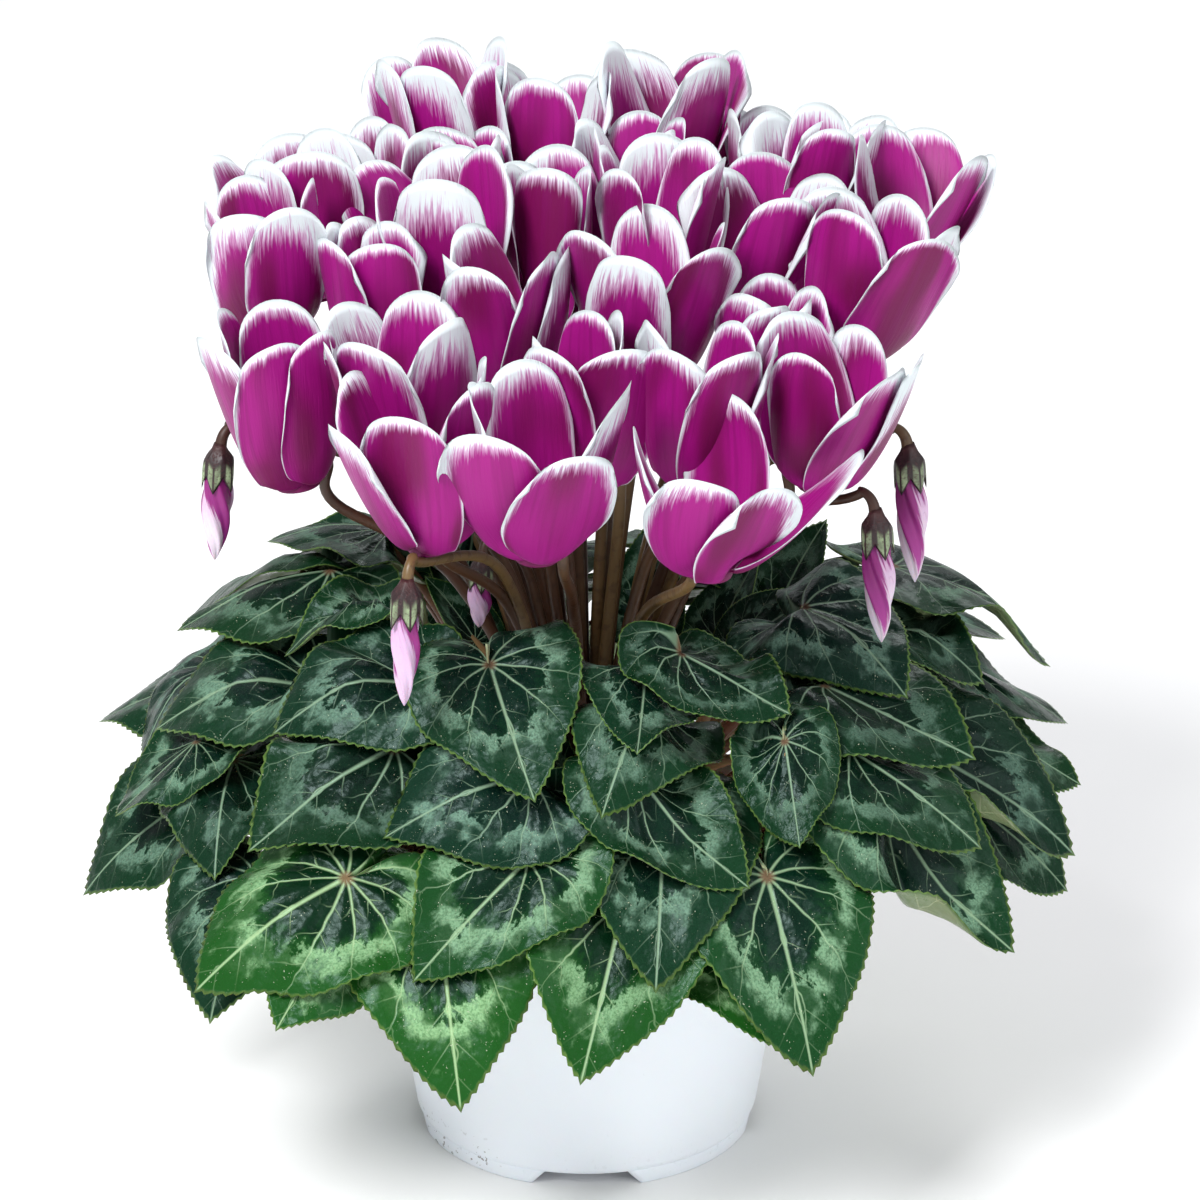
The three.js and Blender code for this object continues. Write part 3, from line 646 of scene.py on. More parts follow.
def eased(profile, radius, steps=3):
    profile = np.asarray(profile, float)
    line = [profile[0]]
    for before, corner, after in zip(profile, profile[1:], profile[2:]):
        cut = min(radius, np.linalg.norm(before - corner) / 2.2, np.linalg.norm(after - corner) / 2.2)
        start, end = corner + cut * unit(before - corner), corner + cut * unit(after - corner)
        for t in np.linspace(0, 1, steps + 1):
            line.append((1 - t) ** 2 * start + 2 * t * (1 - t) * corner + t**2 * end)
    return np.array(line + [profile[-1]])


print("points in a turned cone:", len(turned([[0, 0], [1, 0], [0, 1]], 12)["points"]))

# %% [markdown]
# The ring foot has four gaps, so it is four arcs that are let into the base. Their closed ends slant, so
# that each gap is wider at the table than at the base, as it has to be to leave the mould.

# %% Turning the pot
WALL, FOOT_HEIGHT, BASE_RADIUS, GAP_WIDTH, END_SLANT, LET_IN = 1.6, 4.6, 52, 24, 0.09, 0.4
SHOULDER_RADIUS, RIM_RADIUS, RIM_BOTTOM, POT_HEIGHT = 63.4, 65.6, 81, 97
CORNER, POT_SIDES, ARC_ROWS = 0.7, 160, 25


def foot_arc(middle):
    # The corners of an arc's section, from the ring's inside to its outside.
    top = FOOT_HEIGHT + LET_IN
    section = eased([[-4.75, top], [-4.2, 0], [-1.2, 0], [-0.75, top], [-4.75, top]], 0.5, 2)[:-1]
    half = math.pi / 4 - GAP_WIDTH / 2 / (BASE_RADIUS - 2) - END_SLANT * (1 - section[:, 1] / top)
    angles = middle + np.linspace(-1, 1, ARC_ROWS)[:, None] * half
    sides = len(section)
    end = fan(0, np.arange(1, sides))
    return {
        "points": round_points(BASE_RADIUS + section[:, 0], angles, section[:, 1]).reshape(-1, 3),
        "quads": grid_quads(ARC_ROWS, sides, closed=True),
        "triangles": np.concatenate([end[:, ::-1], end + (ARC_ROWS - 1) * sides]),
        "notes": {},
    }


inner_rim, inner_base = RIM_RADIUS - WALL, BASE_RADIUS - WALL
cup_profile = [
    [0, FOOT_HEIGHT], [BASE_RADIUS - 0.9, FOOT_HEIGHT], [BASE_RADIUS, FOOT_HEIGHT + 1.6],
    [SHOULDER_RADIUS, RIM_BOTTOM], [RIM_RADIUS - 0.2, RIM_BOTTOM + 0.8], [RIM_RADIUS, POT_HEIGHT],
    [inner_rim, POT_HEIGHT], [inner_rim - 0.5, RIM_BOTTOM + 2], [SHOULDER_RADIUS - WALL, RIM_BOTTOM],
    [inner_base, FOOT_HEIGHT + 3], [inner_base - 2, FOOT_HEIGHT + WALL], [0, FOOT_HEIGHT + WALL],
]
cup = turned(eased(cup_profile, CORNER), POT_SIDES)
arcs = [foot_arc(math.pi / 4 + k * math.pi / 2) for k in range(4)]
finished("pot_shell", join_grids([cup, *arcs]), pot_plastic, ["pot"])
print("pot triangles:", total_triangles)

# %% [markdown]
# ## Soil and tuber
#
# The peat is a turned body whose top is stirred by a few waves. The tuber is a flattened, lumpy ball
# that stands out of it, and everything grows from its top.

# %% Turning the soil and the tuber
SOIL_TOP, SOIL_BOTTOM, SOIL_RADIUS, TUBER_RADIUS, TUBER_BOTTOM, TUBER_TOP = 86, 6.5, 61.3, 30, 58, 93
ROUND_TUBER, SOIL_SIDES, TUBER_SIDES, RIPPLE, LUMP = 0.6, 120, 64, 0.5, 0.008
TUBER_PROFILE = [
    [0, TUBER_BOTTOM], [18, TUBER_BOTTOM + 1.5], [26, TUBER_BOTTOM + 7], [TUBER_RADIUS, TUBER_BOTTOM + 17],
    [TUBER_RADIUS - 1.5, TUBER_TOP - 7], [24, TUBER_TOP - 2.5], [15, TUBER_TOP - 0.6], [0, TUBER_TOP],
]


def tuber_height(x, y):
    outline = np.array(TUBER_PROFILE[:3:-1])
    return float(np.interp(math.hypot(x, y), outline[:, 0], outline[:, 1]))


bowl = [[radius + ROUND_TUBER, height - 0.3] for radius, height in TUBER_PROFILE[3:0:-1]]
surface = np.linspace([SOIL_RADIUS, SOIL_TOP - 4], [TUBER_RADIUS + ROUND_TUBER, SOIL_TOP + 0.5], 12)
foot = [[0, SOIL_BOTTOM], [47.7, SOIL_BOTTOM], [50.0, SOIL_BOTTOM + 3]]
soil = turned([*foot, *surface, *bowl, [0, TUBER_BOTTOM - ROUND_TUBER]], SOIL_SIDES)
x, y, z = soil["points"].T
ripple = np.sin(x * 0.9 + 2 * np.sin(y * 0.31)) * np.cos(y * 0.8 + 1.7 * np.sin(x * 0.27))
on_top = (z > SOIL_TOP - 4.2) & (np.hypot(x, y) > TUBER_RADIUS + 2)
soil["points"][:, 2] += np.where(on_top, ripple * RIPPLE, 0)
finished("soil_bed", soil, peat, ["soil"])
tuber = turned(eased(TUBER_PROFILE, 6, 4), TUBER_SIDES)
x, y, z = tuber["points"].T
lumps = 1 + LUMP * np.sin(5 * np.arctan2(y, x) + z * 0.3)
tuber["points"][:, :2] *= lumps[:, None]
finished("tuber", tuber, cork)
print("with soil and tuber:", total_triangles)

# %% [markdown]
# Loose crumbs of peat lie on the soil. Crumbs are what Geometry Nodes are for: points are strewn on a
# ring of the surface, and a small stone-like block of few faces sits on each, turned and sized by
# chance from a fixed seed.


# %% Strewing crumbs with Geometry Nodes
def node_tree(name, **given):
    tree = bpy.data.node_groups.new(name, "GeometryNodeTree")
    kinds = {float: "Float", int: "Int", type(None): "Material", str: "Geometry"}
    for label, value in {"Geometry": "", **given, "Material": None}.items():
        kind = "NodeSocket" + kinds[type(value)]
        socket = tree.interface.new_socket(label.replace("_", " "), in_out="INPUT", socket_type=kind)
        if value:
            socket.default_value = value
    tree.interface.new_socket("Geometry", in_out="OUTPUT", socket_type="NodeSocketGeometry")
    starts = tree.nodes.new("NodeGroupInput").outputs
    return tree, {socket.name: Wire(socket) for socket in starts if socket.name}


def dress_all(tree, geometry, material):
    real = geometry.onto("GeometryNodeRealizeInstances", {0: geometry})
    dressed = real.onto("GeometryNodeSetMaterial", {"Geometry": real, "Material": material})
    laid(tree, "NodeGroupOutput", {0: dressed})


def grown(name, mesh, tree, **values):
    carrier = added(name, mesh)
    modifier = carrier.modifiers.new("grow", "NODES")
    modifier.node_group = tree
    sockets = {item.name: item.identifier for item in tree.interface.items_tree if item.in_out == "INPUT"}
    for label, value in values.items():
        modifier[sockets[label]] = value
    carrier.update_tag()
    depsgraph = bpy.context.evaluated_depsgraph_get()
    result = bpy.data.meshes.new_from_object(carrier.evaluated_get(depsgraph))
    carrier.modifiers.remove(modifier)
    bpy.data.objects.remove(carrier)
    result.name = name
    return result


BED_OUTER, BED_INNER, BED_SIDES = [59.5, SOIL_TOP - 3.4], [33, SOIL_TOP + 0.4], 60
STONE_SIZES, STONE_TURNS = ((0.4, 0.3, 0.25), (1.3, 0.9, 0.7)), ((0, 0, 0), (0.6, 0.6, 6.2))
strew, given = node_tree("strewn_crumbs", Crumb_size=0.0012, Crumbs_per_area=150000.0, Seed=4)
bed, seed = given["Geometry"], given["Seed"]
density = given["Crumbs per area"]
scatter = bed.onto("GeometryNodeDistributePointsOnFaces", {"Mesh": bed, "Density": density, "Seed": seed})
crumb = bed.onto("GeometryNodeMeshIcoSphere", {"Radius": given["Crumb size"], "Subdivisions": 1})
size, turn = (
    bed.onto("FunctionNodeRandomValue", {0: low, 1: high, "Seed": seed}, data_type="FLOAT_VECTOR")
    for low, high in (STONE_SIZES, STONE_TURNS)
)
seats = {"Points": scatter, "Instance": crumb, "Rotation": turn, "Scale": size}
dress_all(strew, bed.onto("GeometryNodeInstanceOnPoints", seats), given["Material"])
radii, heights = np.array([BED_OUTER, BED_INNER]).T[..., None]
ring = round_points(radii, bearings(BED_SIDES), heights)
strip = {"points": ring.reshape(-1, 3), "quads": grid_quads(2, BED_SIDES, closed=True), "notes": {}}
finished("soil_crumbs", grown("soil_crumbs", plain_mesh("bed", strip), strew, Material=peat), peat)
print("with crumbs:", total_triangles)

# %% [markdown]
# ## Where the flowers are
#
# Each bloom is given by the middle of its mouth, the turn of its stalk's side, how far its petals spread
# and how long they are. A bloom stands in a frame of its own, with its axis leaning a little away from
# the middle of the plant. Each bud is given by its place, its turn and its length.

# %% Tables of the blooms and buds
BLOOMS = [
    ("bloom_a", -82, -28, 216, 0, 14, 52), ("bloom_b", -50, -37, 222, -30, 20, 50),
    ("bloom_c", -43, -69, 213, 10, 24, 52), ("bloom_d", -13, -79, 214, -40, 26, 54),
    ("bloom_e", -2, -44, 220, 30, 10, 50), ("bloom_f", 34, -86, 212, 0, 36, 48),
    ("bloom_g", 32, -52, 224, -20, 14, 48), ("bloom_h", 66, -46, 222, 20, 20, 46),
    ("bloom_i", 50, -16, 224, -30, 8, 46), ("bloom_j", 78, 2, 243, -20, 18, 48),
    ("bloom_k", 92, 36, 259, 30, 30, 42), ("bloom_l", 68, 56, 254, -20, 18, 46),
    ("bloom_m", 55, 84, 247, 20, 16, 46), ("bloom_n", 25, 92, 259, -30, 22, 52),
    ("bloom_o", -10, 88, 255, 20, 20, 50), ("bloom_p", 14, 61, 250, -10, 12, 46),
    ("bloom_q", 21, 30, 249, 30, 16, 50), ("bloom_r", 52, 24, 243, -10, 20, 50),
    ("bloom_s", -10, 34, 244, 10, 10, 48), ("bloom_t", -38, 20, 246, -30, 18, 51),
    ("bloom_u", -20, -14, 234, 20, 16, 50), ("bloom_v", 15, -12, 240, -20, 20, 50),
    ("bloom_w", -41, 94, 261, 20, 20, 50), ("bloom_x", -34, 56, 247, -24, 8, 46),
    ("bloom_y", -80, 38, 250, 0, 22, 48), ("bloom_z", -88, 6, 250, 50, 14, 44),
    ("bloom_za", -65, 65, 247, -20, 10, 46), ("bloom_zb", -60, -2, 240, -40, 6, 44),
]
BUDS = [
    ("bud_a", -106, -8, 214, 40, 30), ("bud_b", -49, -86, 203, 70, 31), ("bud_c", 82, -48, 209, 150, 34),
    ("bud_d", 92, -30, 222, 160, 36), ("bud_e", -30, -30, 188, 60, 16),
]
SMALL_BUD, PALE_BUDS = 20, ("bud_b", "bud_e")
BLOOM_LEAN, MORE_LEAN, BUD_LEAN = 2, 0.07, -4


def flower_frame(x, y, z, side, lean):
    out, tilt = math.atan2(y, x), math.radians(lean)
    up = np.array([math.sin(tilt) * math.cos(out), math.sin(tilt) * math.sin(out), math.cos(tilt)])
    across = np.array([math.cos(side), math.sin(side), 0])
    across = unit(across - up * across.dot(up))
    return np.array([x, y, z], float), np.stack([across, np.cross(up, across), up])


def put(flower, points):
    origin, axes = flower
    return origin + np.asarray(points, float) @ axes


def bloom_frame(bloom):
    x, y, z, turn = bloom[1:5]
    lean = BLOOM_LEAN + MORE_LEAN * math.hypot(x, y)
    return flower_frame(x, y, z, math.atan2(-y, -x) + math.radians(turn), lean)


def bud_frame(bud):
    return flower_frame(*bud[1:4], math.radians(bud[4]), BUD_LEAN)


print("blooms:", len(BLOOMS), "buds:", len(BUDS))

# %% [markdown]
# ## How the petals stand
#
# The five petals of a bloom are folded back from its mouth and stand up round it. A petal leans out only
# to half way to the bloom beside it. The widest one lies outside both of its neighbours, and the others
# follow in turn, which is how real petals overlap.

# %% The lean and length of each petal
PETAL_HALF_WIDTH, PETAL_LENGTH, MOUTH_RADIUS, PETAL_WRAP, PETAL_SPIRAL = 12, 50, 4.8, 1.12, 4.0
CROWN_HEIGHT, ROOM_ENOUGH, LEVEL_APART, FACING_IT, HEIGHT_HELPS = 32, 60, 40, 0.25, 0.2
FIRST_PETAL, PETAL_TURN, STEP_OUT, BETWEEN_BLOOMS, LEAST_LEAN = 65, 61, 0.03, 2.5, 0.02
crowns = [put(bloom_frame(bloom), [0, 0, CROWN_HEIGHT]) for bloom in BLOOMS]


def room_for(number, angle):
    room = ROOM_ENOUGH
    for other, crown in enumerate(crowns):
        away = crown - crowns[number]
        distance = math.hypot(away[0], away[1])
        facing = (away[0] * math.cos(angle) + away[1] * math.sin(angle)) / (distance or 1)
        if other != number and abs(away[2]) < LEVEL_APART and facing > FACING_IT:
            room = min(room, distance / 2 / facing + HEIGHT_HELPS * abs(away[2]))
    return room


def petals_of(number):
    bloom = BLOOMS[number]
    flower, draw = bloom_frame(bloom), draws(11 + 7 * number)
    petals = []
    for i in range(5):
        angle = math.radians(FIRST_PETAL + i * PETAL_TURN + (draw(-3, 3) if 0 < i < 4 else 0))
        lean = math.sin(math.radians(bloom[5] * draw(0.75, 1.25)))
        length = bloom[6] * draw(0.94, 1.03)
        world = unit(np.array([math.cos(angle), math.sin(angle), 0]) @ flower[1])
        free = room_for(number, math.atan2(world[1], world[0])) - MOUTH_RADIUS - BETWEEN_BLOOMS
        petals.append([angle, min(lean * 0.95, max(LEAST_LEAN, free / length)), length])
    widest = max(range(5), key=lambda i: petals[i][1])
    for way, last in ((1, 5), (-1, -1)):
        for i in range(widest + way, last, way):
            petals[i][1] = min(petals[i][1], petals[i - way][1] + STEP_OUT)
    return [(*petal, (i > widest) - (i < widest)) for i, petal in enumerate(petals)]


print("leans of the first bloom:", [round(petal[1], 2) for petal in petals_of(0)])

# %% [markdown]
# Petals overlap, and so do leaves, and a thin blade that cuts through another one shows at once. Both
# are laid in the same way: the blade is sampled more finely than its grid, each sample says how far it
# has to move to clear what lies there already, and the moves are spread smoothly over the grid.

# %% Laying one blade clear of the others
FINER = 3


def finer(grid):
    for axis in (0, 1):
        count = grid.shape[axis]
        at = np.linspace(0, count - 1, (count - 1) * FINER + 1)
        low = np.minimum(at.astype(int), count - 2)
        share = (at - low).reshape((-1, 1, 1) if axis == 0 else (1, -1, 1))
        grid = np.take(grid, low, axis) * (1 - share) + np.take(grid, low + 1, axis) * share
    return grid


def around(moves):
    padded = np.pad(moves, 1, mode="edge")
    return [padded[1:-1, :-2], padded[1:-1, 2:], padded[:-2, 1:-1], padded[2:, 1:-1]]


def eased_moves(needed, shape, wider, smoother):
    moves = np.zeros(shape)
    row, column = (np.minimum((np.arange(n) + 1) // FINER, m - 1) for n, m in zip(needed.shape, shape))
    np.maximum.at(moves, (row[:, None], column[None, :]), needed)
    for _ in range(wider):
        moves = np.maximum.reduce([moves, *around(moves)])
    for _ in range(smoother):
        moves = 0.4 * moves + 0.15 * sum(around(moves))
    return moves


print("samples for each step of a grid:", FINER)

# %% [markdown]
# A petal is a grid that runs along its veins: its lines start side by side at the mouth and fan out to
# the round end, so the last row of the grid is the end's own curve. Each row is bent round the axis of
# the flower. Waves along the edge and a curl of the end keep the petals from looking stamped.

# %% One petal
PETAL_ROWS, PETAL_COLUMNS = 26, 21
WIDTH_AT, WIDTHS = [0, 0.2, 0.42, 0.64, 0.86, 1], [0.44, 0.8, 1.1, 1.26, 1.2, 0.98]
ACROSS = np.linspace(-math.pi / 2, math.pi / 2, PETAL_COLUMNS)
EDGE_WAVE, ROLLED_EDGE, THIN_EDGE, THICKER = 1.6, 0.26, 0.2, 0.35


def bent_line(t, start, first, second, end):
    return (1 - t) ** 3 * start + 3 * t * (1 - t) ** 2 * first + 3 * t**2 * (1 - t) * second + t**3 * end


def petal_grid(petal, number, order):
    angle, reach, length, winding = petal
    draw = draws(301 + 17 * number + 5 * order)
    v, spread = np.meshgrid(np.linspace(0, 1, PETAL_ROWS), ACROSS, indexing="ij")
    u = np.sin(spread)
    edge = np.abs(u)
    pointed, slim = draw(0.14, 0.28), draw(0.94, 1.16)
    s = (v * (1 - pointed + pointed * np.cos(spread)))[..., None]
    # The middle line starts at the mouth, folds back below it and rises to the end.
    knots = MOUTH_RADIUS * np.array([1, 0]) + [
        [0.4, 0.4], [6.4, -3.4], [4.6 + reach * length * 0.6, length * 0.4],
        [1.6 + reach * length, length * math.sqrt(1 - reach * reach)],
    ]
    centre, steps = bent_line(s, *knots), np.diff(knots, axis=0)
    run = (1 - s) ** 2 * steps[0] + 2 * s * (1 - s) * steps[1] + s**2 * steps[2]
    run /= np.linalg.norm(run, axis=-1, keepdims=True)
    half = slim * PETAL_HALF_WIDTH * length / PETAL_LENGTH * through(WIDTH_AT, WIDTHS, v)
    bow = centre[..., 0] * (1 + 0.4 * v)
    turn = u * np.minimum(half / bow, PETAL_WRAP / (1 + 0.2 * v))
    edge_wave = EDGE_WAVE * v**2 * u**2 * np.sin(7 * v + draw(0, 6) + 1.5 * np.sign(u))
    curl = v**4 * (draw(-1.5, 3.0) + draw(-1.5, 2.5) * u**2) + draw(0.0, 0.32) * u * half * v
    beyond = np.maximum(0, (edge - 1 + ROLLED_EDGE) / ROLLED_EDGE)
    rolled = np.where(u > 0, draw(0.2, 2.4), draw(0.2, 2.4)) * v * beyond**2
    wind = winding * PETAL_SPIRAL * turn * (1 + 0.4 * v) * np.minimum(1, v * 3)
    outward = bow * (np.cos(turn) - 1) + wind + edge_wave + curl + rolled
    x, y = centre[..., 0] + run[..., 1] * outward, bow * np.sin(turn)
    twist = angle + math.radians(6 + (number * 37 % 11)) * v**2 + draw(-0.24, 0.24) * v
    east, north = x * np.cos(twist) - y * np.sin(twist), x * np.sin(twist) + y * np.cos(twist)
    points = np.stack([east, north, centre[..., 1] - run[..., 0] * outward], -1)
    from_side, from_end = (1 - edge) * half, (1 - v) * length
    rim = from_side * from_end / np.hypot(from_side, from_end + 1e-9)
    cap = draw(1.2, 2.2) if draw(0, 1) > 0.6 else draw(0.3, 1.05)
    cap = cap * (1 + draw(-0.75, 0.75) * u)
    notes = {"across": spread / (math.pi / 2), "along": v, "rim": rim, "cap": cap}
    notes["own"] = 0 * v + draw(0, 50)
    return points, notes, THIN_EDGE + THICKER * np.minimum(1, 1.7 * (1 - edge))


print("points in one petal:", PETAL_ROWS * PETAL_COLUMNS)

# %% [markdown]
# The petals of a bloom are tucked in from the outermost to the innermost. The place of a sample is its
# height and its bearing round the flower's axis, and a petal moves towards the axis where it has to.

# %% Tucking each petal inside the ones before it
PETAL_CLEARANCE, LEAST_RADIUS, FAR_AWAY = 1.0, 2.0, 1000.0
LOWEST, LEVEL, LEVELS, SECTOR, SECTORS = -8, 1.6, 45, 4, 90
FREE_TO_MOVE = through([0, 0.12, 0.3], [0.3, 0.6, 1.0], np.linspace(0, 1, PETAL_ROWS))[:, None]


def tucked(points, inmost):
    def spots(grid):
        height = np.clip(((grid[..., 2] - LOWEST) / LEVEL).astype(int), 0, LEVELS - 1)
        degrees = (np.degrees(np.arctan2(grid[..., 1], grid[..., 0])) + 360) % 360
        return (height, (degrees / SECTOR).astype(int) % SECTORS), np.hypot(grid[..., 0], grid[..., 1])

    cells, radius = spots(finer(points))
    needed = radius + PETAL_CLEARANCE - inmost[cells]
    moves = eased_moves(needed, points.shape[:2], wider=2, smoother=5) * FREE_TO_MOVE
    radius = np.hypot(points[..., 0], points[..., 1])
    share = np.maximum(radius - moves, np.minimum(radius, LEAST_RADIUS)) / radius
    points = points * np.stack([share, share, np.ones_like(share)], -1)
    cells, radius = spots(finer(points))
    np.minimum.at(inmost, cells, radius)
    return points


def bloom_petals(flower, number):
    petals = petals_of(number)
    widest = [petal[3] for petal in petals].index(0)
    inmost, blades = np.full((LEVELS, SECTORS), FAR_AWAY), []
    for i in sorted(range(5), key=lambda i: abs(i - widest)):
        points, notes, thickness = petal_grid(petals[i], number, i)
        sheet = {
            "points": put(flower, tucked(points, inmost).reshape(-1, 3)),
            "quads": grid_quads(PETAL_ROWS, PETAL_COLUMNS),
            "notes": {name: values.ravel() for name, values in notes.items()},
        }
        blades.append(blade(sheet, thickness.ravel()))
    return blades


print("places round a flower where petals can lie:", LEVELS * SECTORS)

# %% [markdown]
# Under the petals the corolla is a short tube whose mouth looks down. Its folded lip is the darkest part
# of the flower, because it takes the painted shade of the petals' base. Tube and petals make one piece for
# each bloom.

# %% All blooms
TUBE = [[0, 7.6], [4.2, 4], [5.6, -0.8], [6.6, -1.4], [6.4, 0.2], [4.5, 5], [3.3, 9.2], [0, 9.3]]
# along is nearly 0 on the tube, so it takes the darker base colour of the petals, which is painted shade.
TUBE_NOTES = {"across": 0.0, "along": 0.02, "rim": 9.0, "cap": 1.0, "under": 0.0}


def tube_grid(flower, number):
    grid = turned(eased(TUBE[::-1], 0.6, 2)[::-1], 24)
    count = len(grid["points"])
    notes = {name: np.full(count, value) for name, value in (TUBE_NOTES | {"own": float(number)}).items()}
    return grid | {"points": put(flower, grid["points"]), "notes": notes}


for number, bloom in enumerate(BLOOMS):
    flower = bloom_frame(bloom)
    shape = join_grids([*bloom_petals(flower, number), tube_grid(flower, number)])
    finished("petals_of_" + bloom[0], shape, petal_velvet, [bloom[0]])
print("with blooms:", total_triangles)

# %% [markdown]
# ## Stems
#
# A stem is a path with a thickness, so it is made by Geometry Nodes: the paths are plain edges with a
# radius noted at each point, and the tree sweeps a ring along them. The same tree makes the flower
# stalks, the stalks of the buds and the leaf stalks. Its inputs scale the thickness and set the sides.

# %% The tree that sweeps a stem
sweep, given = node_tree("swept_stems", Sides=12, Thickness=1.0)
edges = given["Geometry"]
path = edges.onto("GeometryNodeMeshToCurve", {"Mesh": edges})
ring = path.onto("GeometryNodeCurvePrimitiveCircle", {"Resolution": given["Sides"], "Radius": 1})
noted = path.onto("GeometryNodeInputNamedAttribute", {"Name": "thick"}, data_type="FLOAT")
values = {"Curve": path, "Profile Curve": ring, "Scale": noted * given["Thickness"], "Fill Caps": True}
dress_all(sweep, path.onto("GeometryNodeCurveToMesh", values), given["Material"])


def stems(name, lines, material, solids=(), sides=12):
    mesh = bpy.data.meshes.new(name + "_paths")
    edges, count = [], 0
    for line in lines:
        edges += [(count + i, count + i + 1) for i in range(len(line["points"]) - 1)]
        count += len(line["points"])
    together = {label: np.concatenate([line[label] for line in lines]) for label in lines[0]}
    mesh.from_pydata((together.pop("points") * MM).tolist(), edges, [])
    together["thick"] = together["thick"] * MM
    for label, values in together.items():
        mesh.attributes.new(label, "FLOAT", "POINT").data.foreach_set("value", values.astype(np.float32))
    swept = grown(name, mesh, sweep, Sides=sides, Thickness=1.0, Material=material)
    finished(name, swept, material, solids)


print("nodes that sweep a stem:", len(sweep.nodes))

# %% [markdown]
# A flower stalk leaves the tuber, bends out under its flower, passes beside the mouth and hooks over,
# down into the calyx. The hook is what makes a cyclamen: the flower hangs, and its petals stand up.

# %% Paths of the flower stalks
BLOOM_HOOK = [[9.8, 1, -10], [9.8, 1, 3], [8.2, 1, 12], [5, 0.5, 18], [0.8, 0, 16.5], [0, 0, 9.3]]
BUD_HOOK = [[9, 0, 8], [4.4, 0, 10.6], [0.8, 0, 7.4], [0, 0, -2]]
BLOOM_THICK = [0, 0.3, 0.75, 1], [2.2, 1.9, 1.6, 1.6]
BUD_THICK = [0, 0.3, 0.75, 0.93, 1], [1.9, 1.7, 1.5, 1.4, 2.2]
BLOOM_RISE, BUD_RISE = 0.78, 0.86
PATH_STEPS, FOOT_SPREAD, FLOWER_FOOT, LEAF_FOOT = 9, 0.14, 2, 11


def rounded_path(knots):
    knots = np.asarray(knots, float)
    padded = np.concatenate([[2 * knots[0] - knots[1]], knots, [2 * knots[-1] - knots[-2]]])
    t = np.linspace(0, 1, PATH_STEPS, endpoint=False)[:, None]
    path = []
    for p0, p1, p2, p3 in zip(padded, padded[1:], padded[2:], padded[3:]):
        m1, m2 = (p2 - p0) / 2, (p3 - p1) / 2
        leaving = (2 * t**3 - 3 * t**2 + 1) * p1 + (t**3 - 2 * t**2 + t) * m1
        path.append(leaving + (3 * t**2 - 2 * t**3) * p2 + (t**3 - t**2) * m2)
    return np.concatenate(path + [knots[-1:]])


def stalk_line(flower, hook, rise, thick, own):
    reach = math.hypot(*flower[0][:2])
    ends = put(flower, hook)
    bearing = math.atan2(ends[0, 1], ends[0, 0])
    foot = FLOWER_FOOT + FOOT_SPREAD * reach
    start = tuber_height(foot * math.cos(bearing), foot * math.sin(bearing))
    climb = ends[0, 2] - start
    radii = np.array([foot, foot + 0.04 * reach, foot + 0.32 * reach])
    heights = np.array([start - 2, start + 0.36 * climb, start + rise * climb])
    points = rounded_path([*round_points(radii, bearing, heights), *ends])
    length = np.concatenate([[0], np.cumsum(np.linalg.norm(np.diff(points, axis=0), axis=1))])
    along = length / length[-1]
    return {
        "points": points,
        "along": along,
        "thick": np.interp(along, *thick),
        "own": np.full(len(along), own),
    }


pick = draws(77)
bloom_stalk, bud_stalk = (BLOOM_HOOK, BLOOM_RISE, BLOOM_THICK), (BUD_HOOK, BUD_RISE, BUD_THICK)
lines = [stalk_line(bloom_frame(bloom), *bloom_stalk, pick(0, 1)) for bloom in BLOOMS]
stems("flower_stalks", lines, flower_stem_and_painted_shade, ["tuber_and_flower_stalks"])
lines = [stalk_line(bud_frame(bud), *bud_stalk, pick(0, 1)) for bud in BUDS]
stems("bud_stalks", lines, flower_stem_and_painted_shade)
print("with flower stalks:", total_triangles)

# %% [markdown]
# The calyx is a cup of five pointed sepals where the stalk meets the flower. On a bloom it hides inside
# the petals. On a bud it is the dark, pale-spotted cap, and its points lie on the rolled petals.

# %% Calyces
FIVEFOLD_SIDES, CALYX_ROWS, BUD_ROWS = 50, 10, 40
CALYX_WIDTHS, SEPAL_THICK = ([0, 0.2, 0.5, 0.8, 1], [0.34, 0.55, 0.98, 1.0, 0.98]), 0.5
BLOOM_CALYX, BUD_CALYX, SMALL_CALYX = (14.5, 6.0, 3.9), (6.2, 12, 4.6), (6.2, 9.5, 3.4)


def fivefold(rows):
    return np.meshgrid(np.linspace(0, 1, rows), bearings(FIVEFOLD_SIDES), indexing="ij")


def calyx_grid(flower, top, length, width):
    t, angle = fivefold(CALYX_ROWS)
    lobe = np.arccos(np.abs(np.cos(2.5 * angle))) / (math.pi / 2)
    radius = width * through(*CALYX_WIDTHS, t) * (1 + 0.04 * np.cos(5 * angle))
    height = top - t * (length + 1.1 * width * (0.5 - lobe))
    sheet = {
        "points": put(flower, round_points(radius, angle, height).reshape(-1, 3)),
        "quads": grid_quads(*t.shape, closed=True)[:, ::-1],
        "notes": {"along": t.ravel(), "lobe": lobe.ravel()},
    }
    return blade(sheet, SEPAL_THICK)


grids = [calyx_grid(bloom_frame(bloom), *BLOOM_CALYX) for bloom in BLOOMS]
for bud in BUDS:
    grids.append(calyx_grid(bud_frame(bud), *(SMALL_CALYX if bud[5] < SMALL_BUD else BUD_CALYX)))
finished("calyces", join_grids(grids), calyx_skin)
print("with calyces:", total_triangles)

# %% [markdown]
# A closed bud is its five petals rolled tight, like a furled umbrella: a spindle with five ridges that
# wind round it. A turned body has no ridges, so each ring of points is a five-pointed wave, and each
# ring is turned a little further than the one above.

